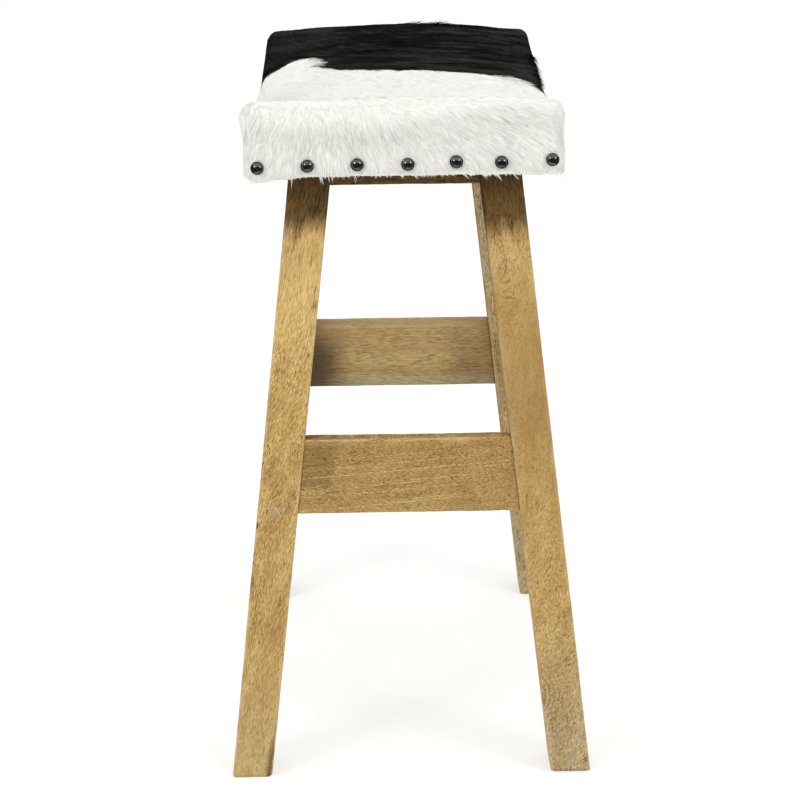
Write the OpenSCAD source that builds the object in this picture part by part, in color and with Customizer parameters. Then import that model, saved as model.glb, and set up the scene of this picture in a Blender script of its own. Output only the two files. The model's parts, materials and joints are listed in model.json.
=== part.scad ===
// A saddle-topped bar stool: four splayed wooden legs, two rings of rails, and a hide-covered seat box.
// X runs across the short end of the seat, Y along its length, Z up.
// The origin is on the floor, at the centre.

/* [Base] */
// Height of the base, from the floor to the top of the legs
base_h = 700; // [600:5:760]
// Outside width of the four feet on the floor, across the stool
foot_w = 410; // [360:1:440]
// Outside depth of the four feet on the floor, along the stool
foot_d = 500; // [450:1:540]
// Outside width of the legs at their top, across the stool
top_w = 245; // [225:1:260]
// Outside depth of the legs at their top, along the stool
top_d = 376; // [350:1:390]
// Side of the square leg
leg_s = 45; // [40:0.5:50]

/* [Top rails] */
// Height of the rails between the tops of the legs
apron_h = 20; // [16:1:30]
// Thickness of those rails, from the outside inwards
apron_t = 30; // [27:1:34]
// Diameter of the dowels that join them to the legs
dowel_d = 8; // [6:0.5:9]
// Distance between the two dowels of a joint
dowel_pitch = 14; // [12:0.5:16]
// Depth of a dowel in the leg
dowel_in_leg = 15; // [12:1:16]
// Depth of a dowel in the rail
dowel_in_rail = 20; // [12:1:30]

/* [Stretchers] */
// Height of the underside of the stretchers over the floor
stretcher_z = 315; // [200:1:400]
// Height of a stretcher
stretcher_h = 85; // [65:1:110]
// Thickness of the front and side stretchers
stretcher_t = 18; // [15:1:22]
// Thickness of the rear stretcher, which is a heavier board
rear_stretcher_t = 36; // [16:1:40]
// How much higher the rear stretcher sits than the others
rear_stretcher_rise = 2; // [0:0.5:6]
// How far a stretcher sits behind the outer faces of the legs
stretcher_inset = 1; // [0.5:0.5:3]
// Thickness of a stretcher's tenon
tenon_t = 8; // [6:1:10]
// Height of a stretcher's tenon
tenon_h = 55; // [40:1:60]
// Length of a stretcher's tenon
tenon_l = 22; // [15:1:24]

/* [Corner blocks] */
// Length of a corner block along each top rail
block_leg = 78; // [70:1:90]
// Distance of a seat screw from the edges at the far end of its block
seat_screw_edge = 13; // [11:0.5:15]

/* [Seat box] */
// Outside width of the seat box, across the stool
frame_w = 315; // [290:1:340]
// Outside length of the seat box
frame_d = 435; // [415:1:470]
// Thickness of the seat box rails
rail_t = 20; // [16:1:25]
// Height of the side rails at their ends
rail_end_h = 49; // [38:0.5:60]
// Height of the side rails at the bottom of the saddle
rail_mid_h = 15.5; // [14:0.5:22]
// Radius of the upright corners of the seat box
frame_corner_r = 8; // [5:0.5:12]
// Thickness of the bent plywood deck
deck_t = 6; // [4:0.5:8]
// Width of the two battens under the deck
batten_w = 60; // [50:1:70]
// Thickness of those battens
batten_t = 18; // [15:0.5:19]
// Distance of a batten's middle from the middle of the seat
batten_y = 140; // [137:1:146]
// Depth by which the battens are let into the side rails
batten_let_in = 6; // [3:0.5:8]
// Thickness of the dust cover under the seat box
dust_t = 0.8; // [0.5:0.1:1.5]
// How far the edge of the dust cover stays inside the seat box
dust_inset = 5; // [3:1:10]

/* [Upholstery] */
// Thickness of the foam at its edges
foam_t = 12; // [8:0.5:20]
// Rise of the foam from its edges to the middle line
crown_h = 10.5; // [5:0.5:25]
// Thickness of the wadding
wad_t = 4; // [2.5:0.5:6]
// Thickness of the cowhide with its coat pressed flat
hide_t = 3; // [2:0.5:4]
// Rounding of the upholstery from its sides to its top
edge_r = 14; // [12:0.5:18]
// Fall of the upholstery's top at its two ends, below the saddle curve
end_fall = 4; // [0:0.5:6]
// Length over which it falls away towards each end
end_run = 45; // [30:1:60]
// How far the sides swell out over the row of nails
bulge = 5; // [1:0.5:8]
// How far the hem of the hide hangs under the seat box
hem_drop = 2.8; // [1:0.2:6]

/* [Upholstery nails] */
// Diameter of a nail's head
nail_d = 14; // [10:0.5:16]
// Height of a nail's dome
nail_dome_h = 4.8; // [3:0.2:6]
// Diameter of a nail's shank
nail_shank_d = 2.2; // [1.6:0.1:2.6]
// Length of a nail's shank
nail_shank_l = 15; // [12:0.5:18]
// Height of the row of nails over the hem
nail_rise = 12; // [9:0.5:13]
// Distance from nail to nail
nail_pitch = 51; // [48:0.5:52]
// Number of nails across each end
end_nails = 7; // [3:1:7]
// Number of nails along each side
side_nails = 8; // [4:1:8]

/* [Screws] */
// Shank diameter of all screws
screw_d = 4; // [3:0.5:5]
// Head diameter of all screws
screw_head_d = 8.5; // [7:0.5:10]
// Head height of the screws with a pan head
pan_h = 3; // [2:0.5:4]
// Length of the screws that hold the seat on the base
seat_screw_l = 34; // [30:1:36]
// Length of the screws that hold the corner blocks to the legs
block_screw_l = 50; // [45:1:54]
// Length of the screws at the corners of the seat box
frame_screw_l = 45; // [35:1:60]
// Shank diameter of the deck nails
deck_nail_d = 2; // [1.5:0.1:2.5]
// Head diameter of the deck nails
deck_nail_head_d = 5; // [4:0.5:6]
// Length of the deck nails
deck_nail_l = 15; // [13:0.5:16]

/* [Hidden] */

// Clearances: between wood and wood in a joint, behind a tenon or dowel, round a shank, between soft layers
joint_gap = 0.15;
end_gap = 1;
shank_gap = 0.05;
soft_gap = 0.3;
// Longer than any piece, for cuts that pass right through
through = 900;
// Sides of the exact round forms
round_fn = 48;

// Outer faces of the legs at a height
function half_w(z) = (foot_w + (top_w - foot_w) * z / base_h) / 2;
function half_d(z) = (foot_d + (top_d - foot_d) * z / base_h) / 2;

// Distance of a tenon behind the leg's outer face, in the middle of a stretcher's thickness
function tenon_start(board_t) = stretcher_inset + (board_t - tenon_t) / 2;
// Thickness and rise of the stretcher across the front end (side -1) or the rear end (side 1)
function end_board_t(side) = side < 0 ? stretcher_t : rear_stretcher_t;
function end_board_rise(side) = side < 0 ? 0 : rear_stretcher_rise;

apron_z = base_h - apron_h;
dowel_z = base_h - apron_h / 2;
stretcher_far = stretcher_inset + stretcher_t;
tenon_z = stretcher_z + (stretcher_h - tenon_h) / 2;
tenon_near = tenon_start(stretcher_t);

seat_z = base_h + dust_t;
saddle_dip = rail_end_h - rail_mid_h;
saddle_r = (pow(frame_d / 2, 2) + pow(saddle_dip, 2)) / (2 * saddle_dip);
saddle_cz = seat_z + rail_mid_h + saddle_r;
batten_l = frame_w - 2 * (rail_t - batten_let_in);
pad_t = hide_t + wad_t;
cover_hw = frame_w / 2 + soft_gap + pad_t;
cover_hd = frame_d / 2 + soft_gap + pad_t;
cover_corner_r = frame_corner_r + pad_t;
hem_z = seat_z - hem_drop;
nail_z = hem_z + nail_rise;

// Corner of the block space on the underside of the top rails, and the line of the block's long face
block_x = half_w(apron_z) - apron_t;
block_y = half_d(apron_z) - apron_t;
block_sum = block_x + block_y - block_leg;
// Place of a seat screw in its block: near the far end of the block, clear of the screw into the leg
seat_screw_y = block_y - seat_screw_edge;
seat_screw_x = block_sum - seat_screw_y + seat_screw_edge;

// Heights of the two screws in each corner of the seat box, as shares of the rail's height
frame_screw_shares = [0.4, 0.78];
deck_nail_rows = [-0.84, -0.42, 0, 0.42, 0.84];

end_pitches = [-(end_nails - 1) / 2 : (end_nails - 1) / 2];
side_pitches = [-(side_nails - 1) / 2 : (side_nails - 1) / 2];

// Solid between two distances in from the splayed outer face on one side across the stool
module across_band(side, near, far, z0, z1) {
    rotate([90, 0, 0])
        linear_extrude(through, center = true)
            polygon([
                [side * (half_w(z0) - near), z0],
                [side * (half_w(z1) - near), z1],
                [side * (half_w(z1) - far), z1],
                [side * (half_w(z0) - far), z0]
            ]);
}

// The same between two distances in from the outer face at one end
module along_band(side, near, far, z0, z1) {
    rotate([90, 0, 90])
        linear_extrude(through, center = true)
            polygon([
                [side * (half_d(z0) - near), z0],
                [side * (half_d(z1) - near), z1],
                [side * (half_d(z1) - far), z1],
                [side * (half_d(z0) - far), z0]
            ]);
}

// Rail across the stool, whose sloping ends reach a distance into the legs
module cross_rail(side, near, far, z0, z1, reach = 0) {
    x0 = half_w(z0) - leg_s + reach;
    x1 = half_w(z1) - leg_s + reach;
    intersection() {
        rotate([90, 0, 0])
            linear_extrude(through, center = true)
                polygon([[-x0, z0], [x0, z0], [x1, z1], [-x1, z1]]);
        along_band(side, near, far, z0, z1);
    }
}

// Rail along the stool, whose sloping ends reach a distance into the legs
module long_rail(side, near, far, z0, z1, reach = 0) {
    y0 = half_d(z0) - leg_s + reach;
    y1 = half_d(z1) - leg_s + reach;
    intersection() {
        rotate([90, 0, 90])
            linear_extrude(through, center = true)
                polygon([[-y0, z0], [y0, z0], [y1, z1], [-y1, z1]]);
        across_band(side, near, far, z0, z1);
    }
}

// Dowel that points up out of a rail into a leg, or with a gap and a tip its bore
module dowel(gap, tip) {
    translate([0, 0, -dowel_in_rail - tip])
        cylinder(d = dowel_d + 2 * gap, h = dowel_in_rail + dowel_in_leg + 2 * tip, $fn = round_fn);
}

// Dowels, or with a gap their bores, of the top rail across the stool where it meets one leg
module cross_dowels(sx, sy, gap = 0, tip = 0) {
    for (k = [-0.5, 0.5])
        translate([
            sx * (half_w(dowel_z) - leg_s),
            sy * (half_d(dowel_z) - apron_t / 2 + k * dowel_pitch),
            dowel_z
        ])
            rotate([0, sx * 90, 0])
                dowel(gap, tip);
}

// The same for the top rail along the stool
module long_dowels(sx, sy, gap = 0, tip = 0) {
    for (k = [-0.5, 0.5])
        translate([
            sx * (half_w(dowel_z) - apron_t / 2 + k * dowel_pitch),
            sy * (half_d(dowel_z) - leg_s),
            dowel_z
        ])
            rotate([-sy * 90, 0, 0])
                dowel(gap, tip);
}

module leg_blank(sx, sy, grow = 0) {
    intersection() {
        across_band(sx, -grow, leg_s + grow, 0, base_h);
        along_band(sy, -grow, leg_s + grow, 0, base_h);
    }
}

module leg(sx, sy) {
    color("burlywood")
        difference() {
            leg_blank(sx, sy);
            end_tenon(sy, joint_gap, end_gap);
            long_rail(sx, tenon_near - joint_gap, tenon_near + tenon_t + joint_gap,
                tenon_z - joint_gap, tenon_z + tenon_h + joint_gap, tenon_l + end_gap);
            cross_dowels(sx, sy, shank_gap, end_gap);
            long_dowels(sx, sy, shank_gap, end_gap);
            block_screw(sx, sy, shank_gap);
        }
}

module end_top_rail(sy) {
    color("saddlebrown")
        difference() {
            cross_rail(sy, 0, apron_t, apron_z, base_h);
            for (sx = [-1, 1])
                cross_dowels(sx, sy, shank_gap, end_gap);
        }
}

module side_top_rail(sx) {
    color("saddlebrown")
        difference() {
            long_rail(sx, 0, apron_t, apron_z, base_h);
            for (sy = [-1, 1])
                long_dowels(sx, sy, shank_gap, end_gap);
        }
}

// Tenons of the stretcher across one end, or with a gap and a tip their mortises
module end_tenon(sy, gap = 0, tip = 0) {
    near = tenon_start(end_board_t(sy)) - gap;
    low = tenon_z + end_board_rise(sy) - gap;
    cross_rail(sy, near, near + tenon_t + 2 * gap, low, low + tenon_h + 2 * gap, tenon_l + tip);
}

module end_stretcher(sy) {
    low = stretcher_z + end_board_rise(sy);
    color("tan")
        union() {
            cross_rail(sy, stretcher_inset, stretcher_inset + end_board_t(sy), low, low + stretcher_h);
            end_tenon(sy);
        }
}

module side_stretcher(sx) {
    color("tan")
        union() {
            long_rail(sx, stretcher_inset, stretcher_far, stretcher_z, stretcher_z + stretcher_h);
            long_rail(sx, tenon_near, tenon_near + tenon_t, tenon_z, tenon_z + tenon_h, tenon_l);
        }
}

module rail_dowels() {
    color("wheat")
        for (sx = [-1, 1], sy = [-1, 1]) {
            cross_dowels(sx, sy);
            long_dowels(sx, sy);
        }
}

// Screw with a pan head, standing on its head's underside with the shank up
module pan_screw(length, gap = 0) {
    cylinder(d = screw_d + 2 * gap, h = length, $fn = round_fn);
    if (gap == 0)
        translate([0, 0, -pan_h])
            cylinder(d1 = screw_head_d * 0.8, d2 = screw_head_d, h = pan_h, $fn = round_fn);
}

// Screw through a corner block into the inner corner of the leg
module block_screw(sx, sy, gap = 0) {
    corner_x = half_w(dowel_z) - leg_s;
    corner_y = half_d(dowel_z) - leg_s;
    back = (corner_x + corner_y - block_sum) / 2;
    translate([sx * (corner_x - back), sy * (corner_y - back), dowel_z])
        rotate([0, 0, atan2(sy, sx)])
            rotate([0, 90, 0])
                pan_screw(block_screw_l, gap);
}

module block_screws() {
    color("gray")
        for (sx = [-1, 1], sy = [-1, 1])
            block_screw(sx, sy);
}

// Screw from under a corner block up into a seat batten
module seat_screw(sx, sy, gap = 0) {
    translate([sx * seat_screw_x, sy * seat_screw_y, apron_z])
        pan_screw(seat_screw_l, gap);
}

module seat_screws() {
    color("gray")
        for (sx = [-1, 1], sy = [-1, 1])
            seat_screw(sx, sy);
}

module corner_block(sx, sy) {
    reach_x = block_x + end_gap;
    reach_y = block_y + end_gap;
    color("peru")
        difference() {
            intersection() {
                translate([0, 0, apron_z])
                    linear_extrude(apron_h)
                        polygon([
                            [sx * reach_x, sy * reach_y],
                            [sx * (block_sum - reach_y), sy * reach_y],
                            [sx * reach_x, sy * (block_sum - reach_x)]
                        ]);
                across_band(sx, apron_t, through / 4, apron_z, base_h);
                along_band(sy, apron_t, through / 4, apron_z, base_h);
            }
            leg_blank(sx, sy, joint_gap);
            block_screw(sx, sy, shank_gap);
            seat_screw(sx, sy, shank_gap);
        }
}

// Cylinder across the stool that cuts the saddle curve
module saddle_tool(r) {
    translate([0, 0, saddle_cz])
        rotate([0, 90, 0])
            cylinder(r = r, h = through, center = true, $fn = 180);
}

// Outline of the seat box with rounded corners, shrunk by an inset
module frame_outline(inset = 0) {
    w = frame_w - 2 * inset;
    d = frame_d - 2 * inset;
    r = frame_corner_r;
    square([w - 2 * r, d], center = true);
    square([w, d - 2 * r], center = true);
    for (sx = [-1, 1], sy = [-1, 1])
        translate([sx * (w / 2 - r), sy * (d / 2 - r)])
            circle(r = r, $fn = round_fn);
}

// Screw through a side rail into the end of an end rail, with its head flush in a countersink
module frame_screw(sx, sy, share, gap = 0) {
    sink = (screw_head_d - screw_d) / 2;
    translate([sx * frame_w / 2, sy * (frame_d - rail_t) / 2, seat_z + share * rail_end_h])
        rotate([0, -sx * 90, 0]) {
            cylinder(d = screw_d + 2 * gap, h = frame_screw_l + gap, $fn = round_fn);
            cylinder(d1 = screw_head_d + 2 * gap, d2 = screw_d + 2 * gap, h = sink, $fn = round_fn);
        }
}

module frame_screws() {
    color("gray")
        for (sx = [-1, 1], sy = [-1, 1], share = frame_screw_shares)
            frame_screw(sx, sy, share);
}

// Nail through the deck into a side rail, square to the curve
module deck_nail(sx, row, gap = 0) {
    lean = asin(row * frame_d / 2 / saddle_r);
    translate([sx * (frame_w - rail_t) / 2, 0, saddle_cz])
        rotate([lean, 0, 0])
            translate([0, 0, deck_t - saddle_r])
                rotate([180, 0, 0]) {
                    cylinder(d = deck_nail_d + 2 * gap, h = deck_nail_l + gap, $fn = round_fn);
                    cylinder(d1 = deck_nail_head_d + 2 * gap, d2 = deck_nail_d + 2 * gap,
                        h = (deck_nail_head_d - deck_nail_d) / 2, $fn = round_fn);
                    if (gap > 0)
                        translate([0, 0, -end_gap])
                            cylinder(d = deck_nail_head_d + 2 * gap, h = end_gap, $fn = round_fn);
                }
}

module deck_nails() {
    color("gray")
        for (sx = [-1, 1], row = deck_nail_rows)
            deck_nail(sx, row);
}

module batten(sy, gap = 0) {
    color("peru")
        difference() {
            translate([-batten_l / 2 - gap, sy * batten_y - batten_w / 2 - gap, seat_z - gap])
                cube([batten_l + 2 * gap, batten_w + 2 * gap, batten_t + 2 * gap]);
            if (gap == 0)
                for (sx = [-1, 1])
                    seat_screw(sx, sy, shank_gap);
        }
}

module side_seat_rail(sx) {
    color("peru")
        difference() {
            intersection() {
                translate([sx * (frame_w - rail_t) / 2 - rail_t / 2, -frame_d / 2, seat_z])
                    cube([rail_t, frame_d, rail_end_h]);
                translate([0, 0, seat_z])
                    linear_extrude(rail_end_h)
                        frame_outline();
            }
            saddle_tool(saddle_r);
            for (sy = [-1, 1])
                batten(sy, joint_gap);
            for (sy = [-1, 1], share = frame_screw_shares)
                frame_screw(sx, sy, share, shank_gap);
            for (row = deck_nail_rows)
                deck_nail(sx, row, shank_gap);
            for (k = side_pitches)
                side_nail(sx, k, shank_gap);
            for (sy = [-1, 1], k = end_pitches)
                end_nail(sy, k, shank_gap);
        }
}

module end_seat_rail(sy) {
    color("peru")
        difference() {
            translate([-frame_w / 2 + rail_t, sy * (frame_d - rail_t) / 2 - rail_t / 2, seat_z])
                cube([frame_w - 2 * rail_t, rail_t, rail_end_h]);
            saddle_tool(saddle_r);
            for (sx = [-1, 1], share = frame_screw_shares)
                frame_screw(sx, sy, share, shank_gap);
            for (k = end_pitches)
                end_nail(sy, k, shank_gap);
        }
}

module seat_deck() {
    color("wheat")
        difference() {
            intersection() {
                saddle_tool(saddle_r);
                translate([0, 0, seat_z])
                    linear_extrude(rail_end_h + 2 * deck_t)
                        frame_outline();
            }
            saddle_tool(saddle_r - deck_t);
            for (sx = [-1, 1], row = deck_nail_rows)
                deck_nail(sx, row, shank_gap);
        }
}

module dust_cover() {
    color("black")
        difference() {
            translate([0, 0, base_h])
                linear_extrude(dust_t)
                    frame_outline(dust_inset);
            for (sx = [-1, 1], sy = [-1, 1])
                seat_screw(sx, sy, shank_gap);
        }
}

// Domed upholstery nail whose head sits on the plane z = 0 and whose shank points down
module nail(gap = 0) {
    dome_r = (pow(nail_d / 2, 2) + pow(nail_dome_h, 2)) / (2 * nail_dome_h);
    tip_l = 2 * nail_shank_d;
    if (gap == 0)
        rotate_extrude($fn = round_fn)
            intersection() {
                translate([0, nail_dome_h - dome_r])
                    circle(r = dome_r, $fn = 96);
                square([nail_d, nail_dome_h]);
            }
    translate([0, 0, -nail_shank_l + tip_l])
        cylinder(d = nail_shank_d + 2 * gap, h = nail_shank_l - tip_l, $fn = 24);
    translate([0, 0, -nail_shank_l])
        cylinder(d1 = nail_shank_d / 4 + 2 * gap, d2 = nail_shank_d + 2 * gap, h = tip_l, $fn = 24);
}

module end_nail(sy, k, gap = 0) {
    translate([k * nail_pitch, sy * cover_hd, nail_z])
        rotate([-sy * 90, 0, 0])
            nail(gap);
}

module side_nail(sx, k, gap = 0) {
    translate([sx * cover_hw, k * nail_pitch, nail_z])
        rotate([0, sx * 90, 0])
            nail(gap);
}

module end_nails_row(sy) {
    color("dimgray")
        for (k = end_pitches)
            end_nail(sy, k);
}

module side_nails_row(sx) {
    color("dimgray")
        for (k = side_pitches)
            side_nail(sx, k);
}

// Points inside each straight stretch of a ring, and rings on the sides, the rounding and the top
end_points = 7;
side_points = 10;
ring_points = 4 * 3 + 2 * end_points + 2 * side_points;
skirt_share = 0.6;
skirt_shares = [0, 0.3, skirt_share, 0.8, 1];
round_angles = [30, 60, 90];
top_scales = [0.93, 0.8, 0.6, 0.38, 0.18];

function reversed(list) = [for (i = [len(list) - 1 : -1 : 0]) list[i]];

// Rounded rectangle as one ring of points, anticlockwise from above
function ring_outline(hw, hd, r) = [
    for (q = [0 : 3])
        let (
            cx = (q == 0 || q == 3 ? 1 : -1) * (hw - r),
            cy = (q < 2 ? 1 : -1) * (hd - r),
            turn = 90 * q,
            run = q % 2 == 0 ? 2 * (hw - r) : 2 * (hd - r),
            count = q % 2 == 0 ? end_points : side_points
        )
        each concat(
            [for (a = [0, 45, 90]) [cx + r * cos(turn + a), cy + r * sin(turn + a)]],
            [for (k = [1 : count])
                [cx - r * sin(turn) - run * k / (count + 1) * cos(turn),
                 cy + r * cos(turn) - run * k / (count + 1) * sin(turn)]]
        )
];

// Height of the saddle curve a distance over the deck's underside
function saddle_height(y, over) = saddle_cz - sqrt(pow(saddle_r - over, 2) - y * y);

// Depth by which the top falls away near an end
function end_drop(y) = end_fall * pow(max(0, abs(y) - cover_hd + end_run) / end_run, 2);

// Top of the upholstery a distance in from its skin
function cover_top(x, y, inset) =
    saddle_height(y, deck_t + foam_t + pad_t - inset)
    + crown_h * (1 - pow(min(1, abs(x) / cover_hw), 2)) - end_drop(y);

// Outward swell of the sides over their height: none on the flat skirt, most where the foam overhangs the deck
function swell(share) = share <= skirt_share ? 0 : bulge * sin(90 * (share - skirt_share) / (1 - skirt_share));

function outline_at(grow, inset) =
    ring_outline(cover_hw + grow - inset, cover_hd + grow - inset, cover_corner_r + grow - inset);

function skirt_ring(share, z0, grow, inset) = [
    for (p = outline_at(grow, inset))
        [p[0], p[1], z0 + share * (cover_top(p[0], p[1], inset) - edge_r + inset - z0)]
];

function round_ring(a, grow, inset, r) = [
    for (p = outline_at(grow - r * (1 - cos(a)), inset))
        [p[0], p[1], cover_top(p[0], p[1], inset) - r * (1 - sin(a))]
];

function top_ring(s, grow, inset, r) = [
    for (p = outline_at(grow - r, inset))
        [s * p[0], s * p[1], cover_top(s * p[0], s * p[1], inset)]
];

// Rings of one skin of the upholstery, from its hem to near its middle
function skin(z0, inset, swollen) = concat(
    [for (share = skirt_shares) skirt_ring(share, z0, swollen * swell(share), inset)],
    [for (a = round_angles) round_ring(a, swollen * swell(1), inset, edge_r - inset)],
    [for (s = top_scales) top_ring(s, swollen * swell(1), inset, edge_r - inset)]
);

// Closed solid through a chain of rings, with a point at each end of the chain
module lofted(first, rings, last) {
    n = ring_points;
    count = len(rings);
    points = concat([first], [for (ring = rings) each ring], [last]);
    faces = concat(
        [for (i = [0 : n - 1]) [0, 1 + i, 1 + (i + 1) % n]],
        [for (k = [0 : count - 2], i = [0 : n - 1])
            let (a = 1 + k * n, b = a + n, j = (i + 1) % n)
            each [[a + i, b + i, b + j], [a + i, b + j, a + j]]],
        [for (i = [0 : n - 1])
            let (a = 1 + (count - 1) * n)
            [a + i, 1 + count * n, a + (i + 1) % n]]
    );
    polyhedron(points, faces, convexity = 6);
}

module upholstery_layer(z0, outer, inner, inner_swollen) {
    lofted(
        [0, 0, cover_top(0, 0, inner)],
        concat(reversed(skin(z0, inner, inner_swollen)), skin(z0, outer, 1)),
        [0, 0, cover_top(0, 0, outer)]
    );
}

module foam_pad() {
    inset = pad_t + soft_gap;
    r = min(edge_r - inset, (foam_t - end_fall) / 2);
    rim = outline_at(0, inset);
    under_scales = concat(reversed(top_scales), [1]);
    color("khaki")
        lofted(
            [0, 0, saddle_height(0, deck_t + soft_gap)],
            concat(
                [for (s = under_scales)
                    [for (p = rim) [s * p[0], s * p[1], saddle_height(s * p[1], deck_t + soft_gap)]]],
                [for (a = concat([0], round_angles)) round_ring(a, 0, inset, r)],
                [for (s = top_scales) top_ring(s, 0, inset, r)]
            ),
            [0, 0, cover_top(0, 0, inset)]
        );
}

module wadding() {
    color("white")
        upholstery_layer(seat_z, hide_t + soft_gap / 2, pad_t, 0);
}

module cowhide_cover() {
    color("ivory")
        upholstery_layer(hem_z, 0, hide_t, 1);
}

leg(-1, -1);  // front_left_leg
leg(1, -1);  // front_right_leg
leg(-1, 1);  // rear_left_leg
leg(1, 1);  // rear_right_leg
end_top_rail(-1);  // front_top_rail
end_top_rail(1);  // rear_top_rail
side_top_rail(-1);  // left_top_rail
side_top_rail(1);  // right_top_rail
end_stretcher(-1);  // front_stretcher
end_stretcher(1);  // rear_stretcher
side_stretcher(-1);  // left_stretcher
side_stretcher(1);  // right_stretcher
corner_block(-1, -1);  // front_left_corner_block
corner_block(1, -1);  // front_right_corner_block
corner_block(-1, 1);  // rear_left_corner_block
corner_block(1, 1);  // rear_right_corner_block
end_seat_rail(-1);  // front_seat_rail
end_seat_rail(1);  // rear_seat_rail
side_seat_rail(-1);  // left_seat_rail
side_seat_rail(1);  // right_seat_rail
batten(-1);  // front_batten
batten(1);  // rear_batten
seat_deck();
dust_cover();
foam_pad();
wadding();
cowhide_cover();
end_nails_row(-1);  // front_nails
end_nails_row(1);  // rear_nails
side_nails_row(-1);  // left_nails
side_nails_row(1);  // right_nails
rail_dowels();
block_screws();
seat_screws();
frame_screws();
deck_nails();
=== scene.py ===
import json
import math

import bpy
import numpy as np
from mathutils import Matrix, Vector


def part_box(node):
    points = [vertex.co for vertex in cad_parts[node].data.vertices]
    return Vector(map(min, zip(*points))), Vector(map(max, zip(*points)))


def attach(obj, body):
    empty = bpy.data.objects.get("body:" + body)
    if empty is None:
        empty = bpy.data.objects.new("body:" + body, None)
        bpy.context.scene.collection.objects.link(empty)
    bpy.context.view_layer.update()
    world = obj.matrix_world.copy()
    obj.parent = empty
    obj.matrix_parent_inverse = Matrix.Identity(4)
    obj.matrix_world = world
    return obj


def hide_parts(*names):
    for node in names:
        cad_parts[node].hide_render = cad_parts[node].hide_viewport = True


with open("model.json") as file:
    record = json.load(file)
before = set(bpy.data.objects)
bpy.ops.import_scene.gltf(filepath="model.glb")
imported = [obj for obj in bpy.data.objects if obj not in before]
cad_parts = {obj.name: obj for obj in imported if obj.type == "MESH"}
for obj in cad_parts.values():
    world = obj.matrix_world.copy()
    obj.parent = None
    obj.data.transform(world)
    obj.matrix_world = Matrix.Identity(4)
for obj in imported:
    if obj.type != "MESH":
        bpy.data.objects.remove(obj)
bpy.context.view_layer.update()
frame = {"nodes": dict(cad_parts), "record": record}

# Lengths are in millimetres and angles in degrees, and MM turns a length into metres.
# X runs across the short end of the seat, Y along it away from the viewer, Z up.
MM = 0.001

# Camera: where it stands, how it is turned, and how the photograph's frame is cut from its view
CAMERA_PLACE = (-32.7, -2100.1, 1149.3)
CAMERA_DOWN = 18.91
CAMERA_RIGHT = 0.756
CAMERA_ROLL = -0.607
CAMERA_LENS = 83.32
CAMERA_SENSOR = 36
CAMERA_SHIFT = -0.0625

# Upholstery, as the seat's solids have it: the side rails' height at the bottom of the saddle, the height of
# all layers over the deck's underside at the sides, what they gain at the middle, and the rolled edges
RAIL_MID_H = 15.5
LAYERS = 25
CROWN = 10.5
EDGE_R = 14
END_RUN = 45
BULGE = 5
BULGE_FROM = 0.45
COVER_CORNER_R = 15
# The skin lies this far inside the cover's outer surface, under the coat
COAT_T = 1.4
# Thickness of the hide, the wadding and the deck, and the gap under each layer
HIDE_T = 2.7
WADDING_T = 3.5
DECK_T = 6
LAYER_GAP = 0.3
# How the stuffing has settled: heights of the ends, how much flatter they are across, and the rounder rolls
FRONT_SAG = 3.0
FRONT_FLATTER = 3.3
FRONT_CORNER = 2.5
REAR_RISE = 3.6
REAR_FLATTER = 1.5
END_FALL = 2.8
REAR_EDGE_R = 12
SIDE_ROLL = 13
SIDE_ROLL_Y = -157
SIDE_ROLL_REACH = 50
FRONT_ROLL = -4
FRONT_LEFT_ROLL = 18
REAR_ROLL = 8
# Where these changes start and end, as distances from the seat's middle
END_ZONE = (60, 215)
ROLL_ZONE = (100, 190)
SIDE_ZONE = (100, 160)
# How far the front corners stand out at the hem, and how much less they do above it
LEFT_OUT = 5.0
LEFT_LESS = 2.2
RIGHT_OUT = 2.0
RIGHT_LESS = 5.0
# How far the sides draw in behind the middle and at the rear end, and the most that they can beside the deck
REAR_IN = 3.0
REAR_END_IN = 3.2
DECK_IN = 4.2


def corners(node):
    """Corners of a CAD node's mesh, in mm."""
    mesh = frame["nodes"][node].data
    co = np.zeros(len(mesh.vertices) * 3)
    mesh.vertices.foreach_get("co", co)
    return co.reshape(-1, 3) / MM


def corners_at(node, z):
    """The corners of a node that lie at a height."""
    co = corners(node)
    return np.abs(co[np.abs(co[:, 2] - z) < 0.01])


# Outer faces of the legs, read from the front left one
BASE_H = corners("front_left_leg")[:, 2].max()
foot = corners_at("front_left_leg", 0)
leg_top = corners_at("front_left_leg", BASE_H)
LEG_S = np.ptp(foot[:, 0])


def half_w(z):
    return foot[:, 0].max() + (leg_top[:, 0].max() - foot[:, 0].max()) * z / BASE_H


def half_d(z):
    return foot[:, 1].max() + (leg_top[:, 1].max() - foot[:, 1].max()) * z / BASE_H


# The legs' half spans across and along the stool, by axis
HALF_SPANS = (half_w, half_d)


def rail_sizes(node, axis):
    """Lowest and highest z of a rail, its thickness, and how far it sits behind the legs' outer faces."""
    low, high = (corner[2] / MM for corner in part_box(node))
    at_low = corners_at(node, corners(node)[:, 2].min())[:, axis]
    return low, high, np.ptp(at_low), HALF_SPANS[axis](low) - at_low.max()


cover_low, cover_high = (np.array(corner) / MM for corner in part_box("cowhide_cover"))
COVER_HW = cover_high[0] - BULGE
COVER_HD = cover_high[1] - BULGE
HEM_Z = cover_low[2]
rail_low, rail_high = (np.array(corner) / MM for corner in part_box("left_seat_rail"))
SEAT_Z = rail_low[2]
saddle_dip = rail_high[2] - rail_low[2] - RAIL_MID_H
SADDLE_R = (rail_high[1] ** 2 + saddle_dip ** 2) / (2 * saddle_dip)
SADDLE_CZ = SEAT_Z + RAIL_MID_H + SADDLE_R
nail_low, nail_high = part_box("front_nails")
NAIL_Z = (nail_low[2] + nail_high[2]) / 2 / MM
NAIL_R = (nail_high[2] - nail_low[2]) / 2 / MM
NAIL_DOME = -nail_low[1] / MM - COVER_HD
NAIL_PITCH = 51


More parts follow.
